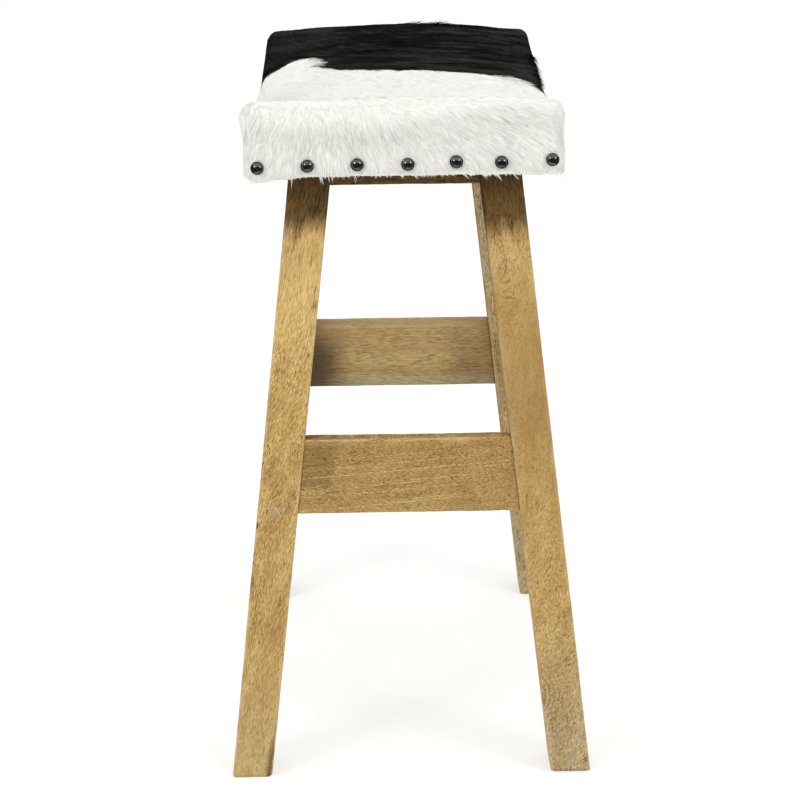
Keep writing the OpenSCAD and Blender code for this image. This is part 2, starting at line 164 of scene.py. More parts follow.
# Numbers over surfaces

def smooth(value, low, high):
    """0 below low, 1 above high, and a smooth rise between them."""
    share = np.clip((value - low) / (high - low), 0, 1)
    return share * share * (3 - 2 * share)


def lattice(cell, seed):
    """A fixed random number between -1 and 1 for each whole-numbered cell."""
    # The large factors scatter the bits of the cell's numbers
    x, y, z = (cell[..., k].astype(np.int64) for k in range(3))
    h = (x * 374761393 + y * 668265263 + z * 1274126177 + seed * 974634777) & 0xFFFFFFFF
    h = ((h ^ (h >> 13)) * 1103515245) & 0xFFFFFFFF
    h = ((h ^ (h >> 15)) * 2654435761) & 0xFFFFFFFF
    return (h ^ (h >> 16)) / 2147483648.0 - 1.0


def waves(points, size, seed):
    """Smooth noise between -1 and 1 over points, with lumps about size long in each direction."""
    scaled = points / np.asarray(size, float)
    cell = np.floor(scaled)
    part = scaled - cell
    part = part * part * (3 - 2 * part)
    total = 0.0
    for dx in (0, 1):
        for dy in (0, 1):
            for dz in (0, 1):
                weight = 1.0
                for axis, step in enumerate((dx, dy, dz)):
                    weight = weight * (part[..., axis] if step else 1 - part[..., axis])
                total = total + weight * lattice(cell + (dx, dy, dz), seed)
    return total


def unit(vectors):
    return vectors / np.maximum(np.linalg.norm(vectors, axis=-1, keepdims=True), 1e-9)


# Meshes from arrays

def mesh_object(name, points, faces, attributes=(), normals=None):
    """A new object from points in mm and a list of arrays of faces, each array with faces of one size."""
    mesh = bpy.data.meshes.new(name)
    counts = np.concatenate([np.full(len(part), part.shape[1]) for part in faces])
    loops = np.concatenate([np.asarray(part).ravel() for part in faces])
    mesh.vertices.add(len(points))
    mesh.vertices.foreach_set("co", (np.asarray(points) * MM).astype(np.float32).ravel())
    mesh.loops.add(len(loops))
    mesh.loops.foreach_set("vertex_index", loops.astype(np.int32))
    mesh.polygons.add(len(counts))
    starts = np.concatenate([[0], np.cumsum(counts)[:-1]])
    mesh.polygons.foreach_set("loop_start", starts.astype(np.int32))
    mesh.update(calc_edges=True)
    mesh.validate()
    for label, values in dict(attributes).items():
        kind, field = ("FLOAT", "value") if values.ndim == 1 else ("FLOAT_VECTOR", "vector")
        layer = mesh.attributes.new(label, kind, "POINT")
        layer.data.foreach_set(field, values.astype(np.float32).ravel())
    mesh.shade_smooth()
    if normals is not None:
        layer = mesh.attributes.new("custom_normal", "FLOAT_VECTOR", "POINT")
        layer.data.foreach_set("vector", normals.astype(np.float32).ravel())
    made = bpy.data.objects.new(name, mesh)
    bpy.context.scene.collection.objects.link(made)
    return made


def grid_faces(rows, columns, flip=False):
    """Quads between rows of points that close round on themselves."""
    first = np.arange(columns)
    after = (first + 1) % columns
    quads = []
    for row in range(rows - 1):
        low, high = row * columns, (row + 1) * columns
        quads.append(np.stack([low + first, low + after, high + after, high + first], 1))
    quads = np.concatenate(quads)
    return quads[:, ::-1] if flip else quads


def fan_faces(ring_start, columns, middle, flip=False):
    first = ring_start + np.arange(columns)
    after = ring_start + (np.arange(columns) + 1) % columns
    tris = np.stack([first, after, np.full(columns, middle)], 1)
    return tris[:, ::-1] if flip else tris


def volume(points, faces):
    """Volume inside closed faces, negative where they look inwards."""
    total = 0.0
    for part in faces:
        for k in range(1, part.shape[1] - 1):
            a, b, c = points[part[:, 0]], points[part[:, k]], points[part[:, k + 1]]
            total += np.einsum("ij,ij->i", a, np.cross(b, c)).sum() / 6
    return total


def closed_faces(points, rows, columns):
    """Faces of a body that look outwards, from rows of points and then the middle points of both ends."""
    count = rows * columns
    caps = [fan_faces(0, columns, count, True), fan_faces(count - columns, columns, count + 1)]
    faces = [grid_faces(rows, columns), np.concatenate(caps)]
    if volume(points, faces) < 0:
        faces = [part[:, ::-1] for part in faces]
    return faces


def dress(piece, slot_name, material, *nodes):
    """Gives a piece its material, lets it ride with the stool, and puts it in place of CAD nodes. Its slot
    name is not used.
    """
    piece.data.materials.append(material)
    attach(piece, "root")
    if nodes:
        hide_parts(*nodes)
    return piece


# Materials

def rgb(red, green, blue):
    """Linear colour of an sRGB one given as 0 to 255."""
    values = []
    for value in (red, green, blue):
        share = value / 255
        values.append(share / 12.92 if share <= 0.04045 else ((share + 0.055) / 1.055) ** 2.4)
    return (*values, 1.0)


class Signal:
    """What a node puts out. Sums, differences and products of signals make further nodes."""

    def __init__(self, paint, socket):
        self.paint = paint
        self.socket = socket

    def __add__(self, other):
        return self.paint.math("ADD", self, other)

    def __sub__(self, other):
        return self.paint.math("SUBTRACT", self, other)

    def __mul__(self, other):
        return self.paint.math("MULTIPLY", self, other)


class Paint:
    """The nodes of one material or world, with short names for the kinds that are used here."""

    def __init__(self, name, kind="materials"):
        self.owner = getattr(bpy.data, kind).new(name)
        self.owner.use_nodes = True
        self.tree = self.owner.node_tree
        self.tree.nodes.clear()

    def node(self, kind, inputs, **settings):
        """A new node, its inputs set to values or linked to signals."""
        made = self.tree.nodes.new("ShaderNode" + kind)
        for key, value in settings.items():
            setattr(made, key, value)
        for key, value in inputs.items():
            if isinstance(value, Signal):
                self.tree.links.new(value.socket, made.inputs[key])
            else:
                made.inputs[key].default_value = value
        return made

    def signal(self, output, kind, inputs, **settings):
        """One output of a new node."""
        return Signal(self, self.node(kind, inputs, **settings).outputs[output])

    def value(self, name):
        return self.signal("Fac", "Attribute", {}, attribute_name=name)

    def vector(self, name):
        return self.signal("Vector", "Attribute", {}, attribute_name=name)

    def place(self):
        """The place on the piece, in metres."""
        return self.signal("Object", "TexCoord", {})

    def scaled(self, place, *sizes):
        """A place measured in lengths of those sizes: one size for each direction, or one for all."""
        factors = [1 / size for size in sizes] * (3 // len(sizes))
        return self.signal(0, "VectorMath", {0: place, 1: factors}, operation="MULTIPLY")

    def moved(self, place, offset, amount):
        """A place moved by a vector times an amount."""
        step = self.signal(0, "VectorMath", {0: offset, "Scale": amount}, operation="SCALE")
        return self.signal(0, "VectorMath", {0: place, 1: step}, operation="ADD")

    def math(self, operation, a, b=0.0):
        return self.signal(0, "Math", {0: a, 1: b}, operation=operation)

    def noise(self, place, detail=2.0, rough=0.5, output="Fac"):
        inputs = {"Vector": place, "Scale": 1.0, "Detail": detail, "Roughness": rough}
        return self.signal(output, "TexNoise", inputs)

    def span(self, value, low, high, to_low=0.0, to_high=1.0):
        """A value from low to high, turned smoothly into to_low to to_high."""
        inputs = {0: value, 1: low, 2: high, 3: to_low, 4: to_high}
        return self.signal(0, "MapRange", inputs, interpolation_type="SMOOTHSTEP")

    def mix(self, share, a, b, blend="MIX"):
        return self.signal(2, "Mix", {0: share, 6: a, 7: b}, data_type="RGBA", blend_type=blend)

    def seen(self, *rays):
        """1 for those kinds of ray, 0 for all others."""
        share = 0.0
        for ray in rays:
            share = self.math("MAXIMUM", self.signal(f"Is {ray} Ray", "LightPath", {}), share)
        return share

    def part(self, place, axis):
        return self.signal(axis, "SeparateXYZ", {0: place})

    def bump(self, height, strength, distance):
        return self.signal(0, "Bump", {"Height": height, "Strength": strength, "Distance": distance * MM})

    def finish(self, inputs):
        """Puts the inputs on a shader and returns the material."""
        self.node("OutputMaterial", {"Surface": self.signal(0, "BsdfPrincipled", inputs)})
        return self.owner


# Small dark flaws in the wood, and painted shade at a foot: piece number, place across and along, half sizes,
# lean, darkness
FLAWS_AND_FOOT_SHADE = [
    (0, 1.5, 303, 1.0, 4.5, 0, 0.95),
    (0, 14, 640, 0.7, 34, 1, 0.55),
    (0, 33, 600, 1.1, 10, 4, 0.45),
    (0, 40, 560, 0.8, 16, 3, 0.4),
    (0, 24, 566, 0.6, 5, 60, 0.35),
    # The front left foot's rounded inner corner: a long strip of painted shade, not a flaw
    (0, 48, 4, 12, 60, 0, 0.7),
    (1, 15, 222, 1.0, 2.5, 40, 0.5),
    (1, 16, 190, 0.8, 3.0, 60, 0.55),
    (1, 4, 16, 2.2, 4.0, 10, 0.6),
    (4, 40, 352, 0.8, 3.0, 0, 0.85),
    (4, 62, 300, 0.6, 2.0, 70, 0.3),
    (3, 40, 604, 0.8, 4.0, 55, 0.8),
    (3, 41, 579, 0.8, 4.0, 40, 0.75),
    (3, 39, 563, 0.7, 3.5, 62, 0.7),
    (3, 40, 520, 0.6, 3.5, 30, 0.5),
    (3, 41, 497, 0.9, 3.0, 50, 0.6),
]
# The place attribute of each piece starts this much farther along than that of the piece before
PIECE_STEP = 2000
# Fields of a piece that mix a tone into its wood: how strongly, and the tone
FIELD_TONES = {
    "grey": (0.84, rgb(190, 174, 136)),
    "warm": (0.55, rgb(168, 121, 64)),
    "deep": (0.6, rgb(140, 106, 56)),
    "pale": (0.6, rgb(230, 196, 126)),
}


def wood_pores(paint, grain):
    """Share of the open pores at a place, and how open the wood is there."""
    dashes = paint.noise(paint.scaled(grain, 0.85, 0.85, 9), 1)
    specks = paint.noise(paint.scaled(grain, 0.6, 0.6, 4.4), 1)
    crowd = paint.span(paint.noise(paint.scaled(grain, 18, 18, 50)), 0.35, 0.65, 0.6, 1.0)
    pores = paint.math("MAXIMUM", paint.span(dashes, 0.53, 0.66), paint.span(specks, 0.57, 0.7, 0, 0.8))
    open_share = paint.math("SUBTRACT", 1.0, paint.value("calm") * 0.6)
    return pores * crowd * open_share, open_share


def wood_flaws_and_foot_shade(paint, place):
    """Darkness of the small flaws and of the painted shade at a foot, at a place, on the outer faces only."""
    across, along = paint.part(place, 0), paint.part(place, 2)
    flaw_and_foot_shade = 0.0
    for number, a, t, half_a, half_t, lean, darkness in FLAWS_AND_FOOT_SHADE:
        turn = math.radians(lean)
        da = across - a
        dt = along - (t + number * PIECE_STEP)
        u = da * (math.cos(turn) / half_a) + dt * (-math.sin(turn) / half_a)
        v = da * (math.sin(turn) / half_t) + dt * (math.cos(turn) / half_t)
        flaw_and_foot_shade = paint.span(u * u + v * v, 1.2, 0.3, 0, darkness) + flaw_and_foot_shade
    on_face = paint.span(paint.part(place, 1), 3.0, 0.6)
    return paint.math("MINIMUM", flaw_and_foot_shade, 1.0) * on_face


def wood(name, light, tan, brown, pore, stained):
    """Waxed open-pored wood. Its grain runs along the third part of the grain attribute."""
    paint = Paint(name)
    ring = paint.vector("ring")
    grain = paint.vector("grain")
    wander = paint.noise(paint.scaled(grain, 34, 34, 120), 2, output="Color")
    centred = paint.signal(0, "VectorMath", {0: wander, 1: (0.5, 0.5, 0.5)}, operation="SUBTRACT")
    grain = paint.moved(grain, centred, 4.5)
    broad = paint.noise(paint.scaled(grain, 11, 11, 150), 3, 0.55)
    blotch = paint.noise(paint.scaled(grain, 26, 26, 60), 3, 0.6)
    streaks = paint.noise(paint.scaled(grain, 1.9, 1.9, 70), 3, 0.6)
    fibre = paint.noise(paint.scaled(grain, 0.7, 0.7, 13), 2, 0.6)
    rings = paint.math("SINE", paint.part(grain, 0) * 1.15)

    colour = paint.mix(paint.span(broad, 0.3, 0.7), tan, light)
    colour = paint.mix(paint.span(blotch, 0.52, 0.75, 0, 0.6), colour, brown)
    colour = paint.mix(paint.span(streaks, 0.5, 0.8, 0, 0.5), colour, brown)
    colour = paint.mix(paint.span(streaks, 0.5, 0.2, 0, 0.45), colour, light)
    colour = paint.mix(paint.span(rings, 0.5, 1.0, 0, 0.12), colour, light)
    for field, (strength, tone) in FIELD_TONES.items():
        colour = paint.mix(paint.value(field) * strength, colour, tone)
    growth = paint.noise(paint.scaled(ring, 2.2, 40, 260), 2, 0.6)
    pale_line = paint.value("lines") * paint.span(growth, 0.57, 0.66)
    colour = paint.mix(pale_line * 0.7, colour, rgb(212, 186, 132))
    colour = paint.mix(paint.span(fibre, 0.35, 0.75, 0.0, 0.3), colour, brown)
    pores, open_share = wood_pores(paint, grain)
    colour = paint.mix(pores * 0.85, colour, pore)
    grit = paint.noise(paint.scaled(grain, 0.7, 0.7, 6), 1)
    rougher = paint.mix(1.0, colour, paint.span(grit, 0.3, 0.7, 0.7, 1.3), "MULTIPLY")
    colour = paint.mix(open_share, colour, rougher)
    turns = paint.math("SINE", paint.part(ring, 0) * 0.85 + blotch * 5.0)
    turns = paint.value("knot") * paint.span(turns, 0.1, 0.95)
    colour = paint.mix(turns * 0.5, colour, pore)

    worn = paint.value("wear") * paint.span(streaks, 0.25, 0.6)
    colour = paint.mix(worn * 0.6, colour, rgb(214, 190, 140))
    dark = paint.value("stain")
    soaked = paint.span(dark + (streaks - 0.5) * 0.6, 0.12, 0.9) * paint.span(dark, 0.0, 0.2)
    stain_tone = paint.mix(paint.span(fibre + pores, 0.3, 1.2), rgb(110, 77, 15), rgb(50, 33, 1))
    colour = paint.mix(soaked * stained, colour, stain_tone)
    # Dark flaws, and painted shade on the front left foot's rounded corner
    flaw_and_foot_shade = wood_flaws_and_foot_shade(paint, paint.vector("place"))
    colour = paint.mix(flaw_and_foot_shade, colour, rgb(48, 32, 12))
    colour = paint.mix(paint.value("dirt"), colour, rgb(58, 40, 18))
    colour = paint.mix(paint.value("dull"), colour, rgb(72, 60, 38))
    sawn = paint.value("sawn") * paint.math("SINE", paint.part(paint.vector("saw"), 0) * 1.7)
    colour = paint.mix(paint.span(sawn, 0.55, 1.0, 0, 0.5), colour, brown)
    height = fibre * 0.35 + pores * -0.8 + streaks * 0.5 + sawn * 0.22 + flaw_and_foot_shade * -1.5
    return paint.finish({
        "Base Color": colour,
        "Roughness": paint.span(broad + pores, 0.3, 1.4, 0.48, 0.72),
        "Specular IOR Level": 0.35,
        "Normal": paint.bump(height, 0.28, 0.5),
    })


# Light, middle and dark tone of each wood, the tone of its pores, and how strongly the stain covers it
WOOD_TONES = {
    "rough_wood": (rgb(210, 178, 112), rgb(192, 154, 87), rgb(158, 120, 63), rgb(90, 64, 26), 0.96),
    "dark_wood": (rgb(190, 150, 90), rgb(160, 120, 66), rgb(130, 92, 46), rgb(60, 40, 16), 0.82),
}
WOODS = {name: wood(name, *tones) for name, tones in WOOD_TONES.items()}


# Wooden pieces

# Points along each side and each rounded corner of a board's rings, and the distance between the rings
SIDE_POINTS = 12
CORNER_POINTS = 5
RING_STEP = 2.5
# The grain of each piece is cut from another place of the same pattern, and its flow is summed up in steps
GRAIN_STEP = np.array([37.0, 91.0, 613.0])
FLOW_STEPS = 400
# Fields that a piece's look can have, each 0 where the look has none
WOOD_FIELDS = ("stain", "grey", "dirt", "deep", "dull", "lines", "knot", "calm", "pale")


def everywhere(strength):
    """A field of even strength."""
    return lambda a, b, t: strength


def board_rings(size_a, size_b, radii):
    """Rounded rectangles, one for each row of four corner radii, with the outward direction of each point."""
    centres = [(0, 0, 180), (1, 0, 270), (1, 1, 0), (0, 1, 90)]
    arcs = []
    for k, (right, up, start) in enumerate(centres):
        r = radii[:, k:k + 1]
        turn = np.radians(start + 90 * np.linspace(0, 1, CORNER_POINTS))[None, :]
        out_a, out_b = np.cos(turn) + 0 * r, np.sin(turn) + 0 * r
        ca = size_a - r if right else r
        cb = size_b - r if up else r
        arcs.append((ca + r * out_a, cb + r * out_b, out_a, out_b))
    parts = [[], [], [], []]
    shares = (np.arange(1, SIDE_POINTS + 1) / (SIDE_POINTS + 1))[None, :]
    for k in range(4):
        this, following = arcs[k], arcs[(k + 1) % 4]
        for j in range(4):
            parts[j].append(this[j])
            parts[j].append(this[j][:, -1:] * (1 - shares) + following[j][:, :1] * shares)
    return [np.concatenate(part, 1) for part in parts]


def board_radii(along, size_a, size_b, look, seed):
    """Radii of the four long edges at places along a board, with their nicks and wane."""
    line = np.stack([np.zeros_like(along), np.zeros_like(along), along], 1)
    radii = []
    for k in range(4):
        r = look["arris"] * (1 + 0.35 * waves(line, 28, seed + 10 * k))
        r += 2.2 * np.maximum(waves(line, 9, seed + 10 * k + 1) - 0.55, 0)
        for corner, centre, reach, extra in look.get("wane", ()):
            if corner == k:
                near = np.exp(-((along - centre) / reach) ** 2)
                r += extra * near * (1 + 0.5 * waves(line, 6, seed + 5))
        radii.append(r)
    return np.clip(np.stack(radii, 1), 0.5, 0.45 * min(size_a, size_b))


def board_surface(size_a, size_b, length, look, seed):
    """Rings of points from end to end, as distances across, through and along the board."""
    along = np.linspace(0, length, max(8, int(length / RING_STEP)))
    a, b, na, nb = board_rings(size_a, size_b, board_radii(along, size_a, size_b, look, seed))
    t = np.repeat(along[:, None], a.shape[1], 1)
    surface = np.stack([a, b, t], -1)
    swell = 0.22 * waves(surface, (30, 30, 70), seed + 50) + 0.1 * waves(surface, (6, 6, 14), seed + 51)
    inset = np.zeros_like(t)
    for end, r in enumerate(look.get("ends", (1.2, 1.2))):
        from_end = np.clip(r - (t if end == 0 else length - t), 0, r)
        inset += r - np.sqrt(np.maximum(r * r - from_end * from_end, 0))
    mid_a, mid_b = size_a / 2, size_b / 2
    a = mid_a + (a + na * swell - mid_a) * (1 - inset / mid_a)
    b = mid_b + (b + nb * swell - mid_b) * (1 - inset / mid_b)
    for drop, reach in look.get("droop", ()):
        b = b - drop * smooth(t, length - reach, length) ** 2 * smooth(b, size_b * 0.6, size_b)
    return a, b, t


def board_grain(a, b, t, length, look):
    """The flow of the grain, which follows the look's flow rows and bends about its knots."""
    places, leans, squeezes = (np.array(v, float) for v in zip(*look["flow"]))
    fine = np.linspace(0, length, FLOW_STEPS)
    slopes = np.tan(np.radians(np.interp(fine, places, leans)))
    drift = np.concatenate([[0], np.cumsum(slopes)[:-1]]) * fine[1]
    run = np.concatenate([[0], np.cumsum(np.interp(fine, places, squeezes))[:-1]]) * fine[1]
    ga = a - np.interp(t, fine, drift)
    gb = b + 0.3 * np.interp(t, fine, drift)
    for ka, kt, kr, stretch in look.get("knots", ()):
        far = ((a - ka) ** 2 + ((t - kt) / stretch) ** 2) / kr ** 2
        ga = ga - (a - ka) * 0.95 * np.exp(-far) * np.exp(-b / 18)
    return ga, gb, np.interp(t, fine, run)


def board(name, number, place, size_a, size_b, length, look):
    """A sawn board or post. place turns distances across, through and along it into a point."""
    seed = 100 + number
    rings = board_surface(size_a, size_b, length, look, seed)
    rows, columns = rings[0].shape
    a, b, t = (np.concatenate([part.reshape(-1), [part[0].mean(), part[-1].mean()]]) for part in rings)
    points = place(a, b, t)
    local = np.stack([a, b, t], 1)
    face_b = size_b - b if look.get("face") == "inner" else b
    ga, gb, gt = board_grain(a, face_b, t, length, look)

    near = np.minimum(np.minimum(a, size_a - a), 9) ** 2 + np.minimum(np.minimum(b, size_b - b), 9) ** 2
    wear = np.exp(-near / 5.0) * smooth(waves(local, (8, 8, 22), seed + 60), -0.6, 0.5)
    warmth = smooth(waves(local, (16, 16, 60), seed + 70), 0.15, 0.8)
    saw = a * math.cos(0.95) + t * math.sin(0.95) + 0.004 * (t - length / 2) ** 2
    attributes = {
        "grain": np.stack([ga, gb, gt], 1) + GRAIN_STEP * (number + 1),
        "place": np.stack([a, face_b, t + number * PIECE_STEP], 1),
        "wear": np.minimum(wear * look.get("worn", 1.0), 1.4),
        "warm": look.get("warm", 1.0) * warmth,
        "ring": np.stack([look["ring"](a, face_b, t) if "ring" in look else ga, gb, t], 1),
        "sawn": np.full(len(t), float(look.get("sawn", 0.0))),
        "saw": np.stack([saw, t, t], 1),
    }
    for field in WOOD_FIELDS:
        attributes[field] = look.get(field, everywhere(0.0))(a, face_b, t) + np.zeros_like(t)
    return mesh_object(name, points, closed_faces(points, rows, columns), attributes)


def leg_place(sx, sy):
    def place(a, b, t):
        return np.stack([sx * (half_w(t) - a), sy * (half_d(t) - b), t], 1)
    return place


def leg_stain(depth, slope, number):
    """Dark stain at the top of a leg, down to about a depth under its top, lower towards its inner side."""
    def stain(a, b, t):
        local = np.stack([a, b, t], 1)
        edge = BASE_H - depth + slope * a + 7 * waves(local, (9, 9, 40), 300 + number)
        return smooth(t, edge - 26, edge + 34)
    return stain


def spots(*rows):
    """Soft patches on the outer face: place across and along, half sizes, strength."""
    def field(a, b, t):
        total = 0.0
        for ca, ct, ra, rt, strength in rows:
            total = total + strength * np.exp(-((a - ca) / ra) ** 2 - ((t - ct) / rt) ** 2)
        return np.clip(total, 0, 1) * np.exp(-b / 25)
    return field


def right_leg_ring(a, b, t):
    """Growth lines: arches high on the right leg, and rounds about the knot at its foot."""
    knot = smooth(t, 260, 200)
    return (t + 0.06 * (a - 26) ** 2) * (1 - knot) + 1.5 * np.hypot(a - 50, (t - 98) / 1.7) * knot


# Flow rows: place along, lean of the grain on the outer end face, and how short its pores are
LEGS = {
    "front_left_leg": dict(
        number=0, sx=-1, sy=-1, arris=1.7, ends=(2.0, 0.8),
        flow=[(0, 8, 1.1), (250, 8, 1.1), (330, 16, 1.2), (470, 18, 1.2), (560, 4, 0.8), (700, 2, 0.8)],
        wane=[(1, 30, 38, 3.5), (0, 303, 4, 1.6)],
        stain=leg_stain(77, 0.3, 0), grey=spots((22, 318, 7, 6, 0.9), (20, 40, 50, 80, 0.35)),
        dirt=spots((33, 655, 6, 12, 0.55)), pale=spots((22, 560, 60, 95, 0.95)), warm=0.8, worn=1.4,
        calm=spots((22, 40, 60, 150, 0.75), (22, 590, 60, 60, 0.6)),
    ),
    "front_right_leg": dict(
        number=1, sx=1, sy=-1, arris=1.9, ends=(3.0, 0.8),
        flow=[(0, -30, 1.1), (120, -32, 1.1), (220, -34, 1.2), (330, -8, 2.2), (560, -10, 2.4),
              (640, -4, 1.4), (700, 0, 1.0)],
        ring=right_leg_ring, lines=spots((24, 600, 40, 42, 0.9), (40, 100, 15, 34, 1.0)),
        knot=spots((40, 96, 13, 34, 1.1)),
        deep=spots((22, 470, 60, 130, 0.75)), warm=0.5,
        calm=spots((22, 470, 60, 190, 1.0)), pale=spots((22, 590, 60, 70, 0.25)),
        wane=[(1, 0, 8, 3.0), (1, 450, 240, 0.8)],
        knots=[(30, 560, 16, 2.6)],
        stain=leg_stain(76, -0.05, 1), grey=spots((20, 30, 60, 100, 1.0), (43, 420, 6, 60, 0.3)),
        dirt=spots((44, 90, 3, 8, 0.5), (44.5, 660, 1.6, 40, 0.7)),
    ),
    "rear_left_leg": dict(
        number=2, sx=-1, sy=1, arris=1.8, ends=(2.2, 0.8),
        flow=[(0, 6, 1.2), (350, -4, 1.0), (700, 3, 1.0)],
        stain=leg_stain(50, 0.1, 2), grey=spots((20, 600, 30, 80, 0.6), (20, 60, 30, 90, 0.5)),
    ),
    "rear_right_leg": dict(
        number=3, sx=1, sy=1, arris=1.8, ends=(2.4, 0.8),
        flow=[(0, -5, 1.1), (350, 6, 1.2), (700, -3, 1.0)], face="inner", warm=0.4,
        stain=leg_stain(18, 0.0, 3), grey=spots((36, 520, 60, 260, 1.0), (36, 60, 60, 160, 1.0)),
    ),
}

for name, leg in LEGS.items():
    placed = leg_place(leg["sx"], leg["sy"])
    made = board(name + "_wood", leg["number"], placed, LEG_S, LEG_S, BASE_H, leg)
    dress(made, "rough_wood", WOODS["rough_wood"], name)


# How far a rail's end reaches into the leg that it meets
SEAT_IN = 0.8


def rail_place(axis, sign, low, inset, length):
    """A rail that faces along an axis: a is height over its lower edge, b depth under its outer face."""
    def place(a, b, t):
        z = low + a
        out = sign * (HALF_SPANS[axis](z) - inset - b)
        along = (2 * t / length - 1) * (HALF_SPANS[1 - axis](z) - LEG_S + SEAT_IN)
        return np.stack([out, along, z] if axis == 0 else [along, out, z], 1)
    return place


def joint_dirt(length, height):
    """Dust and glue in the joints at both ends."""
    def field(a, b, t):
        ends = 0.55 * np.exp(-np.minimum(t, length - t) / 1.6)
        return ends + 0.35 * np.exp(-np.abs(a - height) / 1.0) * np.exp(-b / 9) * smooth(b, 3, 12)
    return field


def front_deep(a, b, t):
    """Deeper tone of the front stretcher, most in a patch with a wavy edge at its upper left."""
    edge = t + 2.5 * np.sin(0.5 * a) + np.sin(1.3 * a)
    return 0.56 + 0.85 * smooth(edge, 40, 36) * smooth(a, 26, 34)


def rear_dull(a, b, t):
    """Dust and shade on the inner face of the rear stretcher."""
    left = 0.85 * smooth(t, 62, 12) * smooth(a, 110, 40)
    return (left + 0.25 * smooth(t, 165, 205) + 0.03) * smooth(b, 6, 1)


RAILS = {
    "front_stretcher": dict(
        number=4, axis=1, sign=-1, arris=2.8, sawn=1.0, flow=[(0, 4, 2.3), (120, 4.5, 2.0), (300, 4, 2.4)],
        lines=lambda a, b, t: 1.0 - 0.75 * smooth(t, 150, 225) * smooth(a, 60, 20), warm=0.3, worn=2.2,
        deep=front_deep, droop=[(5, 9)],
    ),
    "rear_stretcher": dict(
        number=5, axis=1, sign=1, arris=2.2, sawn=0.6, flow=[(0, -2, 0.6), (300, 2, 0.6)], face="inner",
        calm=everywhere(0.45), grey=lambda a, b, t: 0.9 * smooth(a, 22, 6) + 0.45, dull=rear_dull, warm=0.3,
    ),
    "left_stretcher": dict(
        number=6, axis=0, sign=-1, arris=2.2, sawn=0.6, flow=[(0, -3, 1.1), (300, 4, 1.1)],
    ),
    "right_stretcher": dict(
        number=7, axis=0, sign=1, arris=2.2, sawn=0.7, flow=[(0, 2, 1.1), (300, -3, 1.1)],
    ),
}
TOP_RAILS = [("front", 1, -1), ("rear", 1, 1), ("left", 0, -1), ("right", 0, 1)]
for number, (side, axis, sign) in enumerate(TOP_RAILS, 8):
    RAILS[side + "_top_rail"] = dict(
        number=number, axis=axis, sign=sign, arris=1.5, flow=[(0, 2, 1.0), (300, -2, 1.0)],
        stain=everywhere(1.0), slot="dark_wood",
    )

for name, rail in RAILS.items():
    low, high, thick, inset = rail_sizes(name, rail["axis"])
    length = 2 * (HALF_SPANS[1 - rail["axis"]](low) - LEG_S)
    placed = rail_place(rail["axis"], rail["sign"], low, inset, length)
    look = {"dirt": joint_dirt(length, high - low), "ends": (0.6, 0.6), **rail}
    made = board(name + "_wood", rail["number"], placed, high - low, thick, length, look)
    slot_name = rail.get("slot", "rough_wood")
    dress(made, slot_name, WOODS[slot_name], name)


# The seat's surface

def saddle(y, over):
    """Height of the saddle curve a distance over the deck's underside."""
    return SADDLE_CZ - np.sqrt(np.maximum((SADDLE_R - over) ** 2 - y * y, 1.0))


def top_height(x, y):
    """Height of the seat's top. The front end sags at its middle and turns up at its corners."""
    front, rear = smooth(-y, *END_ZONE), smooth(y, *END_ZONE)
    crown = CROWN - FRONT_FLATTER * front - REAR_FLATTER * rear
    middle = CROWN - FRONT_SAG * front + REAR_RISE * rear
    corner = FRONT_CORNER * smooth(-y, 140, 218) * smooth(np.abs(x), 60, 155)
    fall = END_FALL * (np.maximum(0, np.abs(y) - COVER_HD + END_RUN) / END_RUN) ** 2
    return saddle(y, LAYERS) + middle + corner - fall - crown * np.minimum(1, np.abs(x) / COVER_HW) ** 2


def outline_distance(x, y, grow):
    """Distance from the seat's outline seen from above, negative inside it."""
    qx = np.abs(x) - (COVER_HW - COVER_CORNER_R)
    qy = np.abs(y) - (COVER_HD - COVER_CORNER_R)
    outside = np.hypot(np.maximum(qx, 0), np.maximum(qy, 0))
    return outside + np.minimum(np.maximum(qx, qy), 0) - COVER_CORNER_R - grow


def edge_radius(x, y):
    """Radius of the roll between the skirt and the top."""
    side = SIDE_ROLL * np.exp(-((y - SIDE_ROLL_Y) / SIDE_ROLL_REACH) ** 2)
    sides = EDGE_R + (REAR_EDGE_R - EDGE_R) * smooth(y, 60, 200) + side
    inside = smooth(COVER_HW - np.abs(x), 4, 45)
    front = FRONT_ROLL + FRONT_LEFT_ROLL * smooth(-x, -110, 30)
    return sides + inside * (front * smooth(-y, *ROLL_ZONE) + REAR_ROLL * smooth(y, *ROLL_ZONE))


def stray(x, y, z):
    """How far the cover's sides stand out from the plain outline."""
    height = smooth(z, HEM_Z + 20, HEM_Z + 50)
    front_left = smooth(-x, *SIDE_ZONE) * smooth(-y, 150, 215) * (LEFT_OUT - LEFT_LESS * height)
    front_right = smooth(x, *SIDE_ZONE) * smooth(-y, 60, 215) * (RIGHT_OUT - RIGHT_LESS * height)
    uneven = np.sign(x) * smooth(y, 120, 200)
    rear = REAR_IN * smooth(y, -30, 100) + REAR_END_IN * smooth(y, 110, 215) + uneven
    over_deck = smooth(z - saddle(y, DECK_T), 2, 10)
    rear = rear * over_deck + np.minimum(rear, DECK_IN) * (1 - over_deck)
    return front_left + front_right - rear * smooth(np.abs(x), *SIDE_ZONE)


# Nails: places along each side, how far each of the front row strays across and up, and the others at most
END_NAILS = [k * NAIL_PITCH for k in range(-3, 4)]
SIDE_NAILS = [(k + 0.5) * NAIL_PITCH for k in range(-4, 4)]
FRONT_STRAY = [(-0.6, -1.0), (0.0, -0.6), (0.7, 0.2), (2.3, 0.0), (1.5, 2.0), (-2.5, 0.8), (-0.8, 3.2)]
NAIL_STRAY = 1.5
# The side rows' first nails stand this much behind their pitch, clear of the corner
FIRST_NAIL_IN = 11
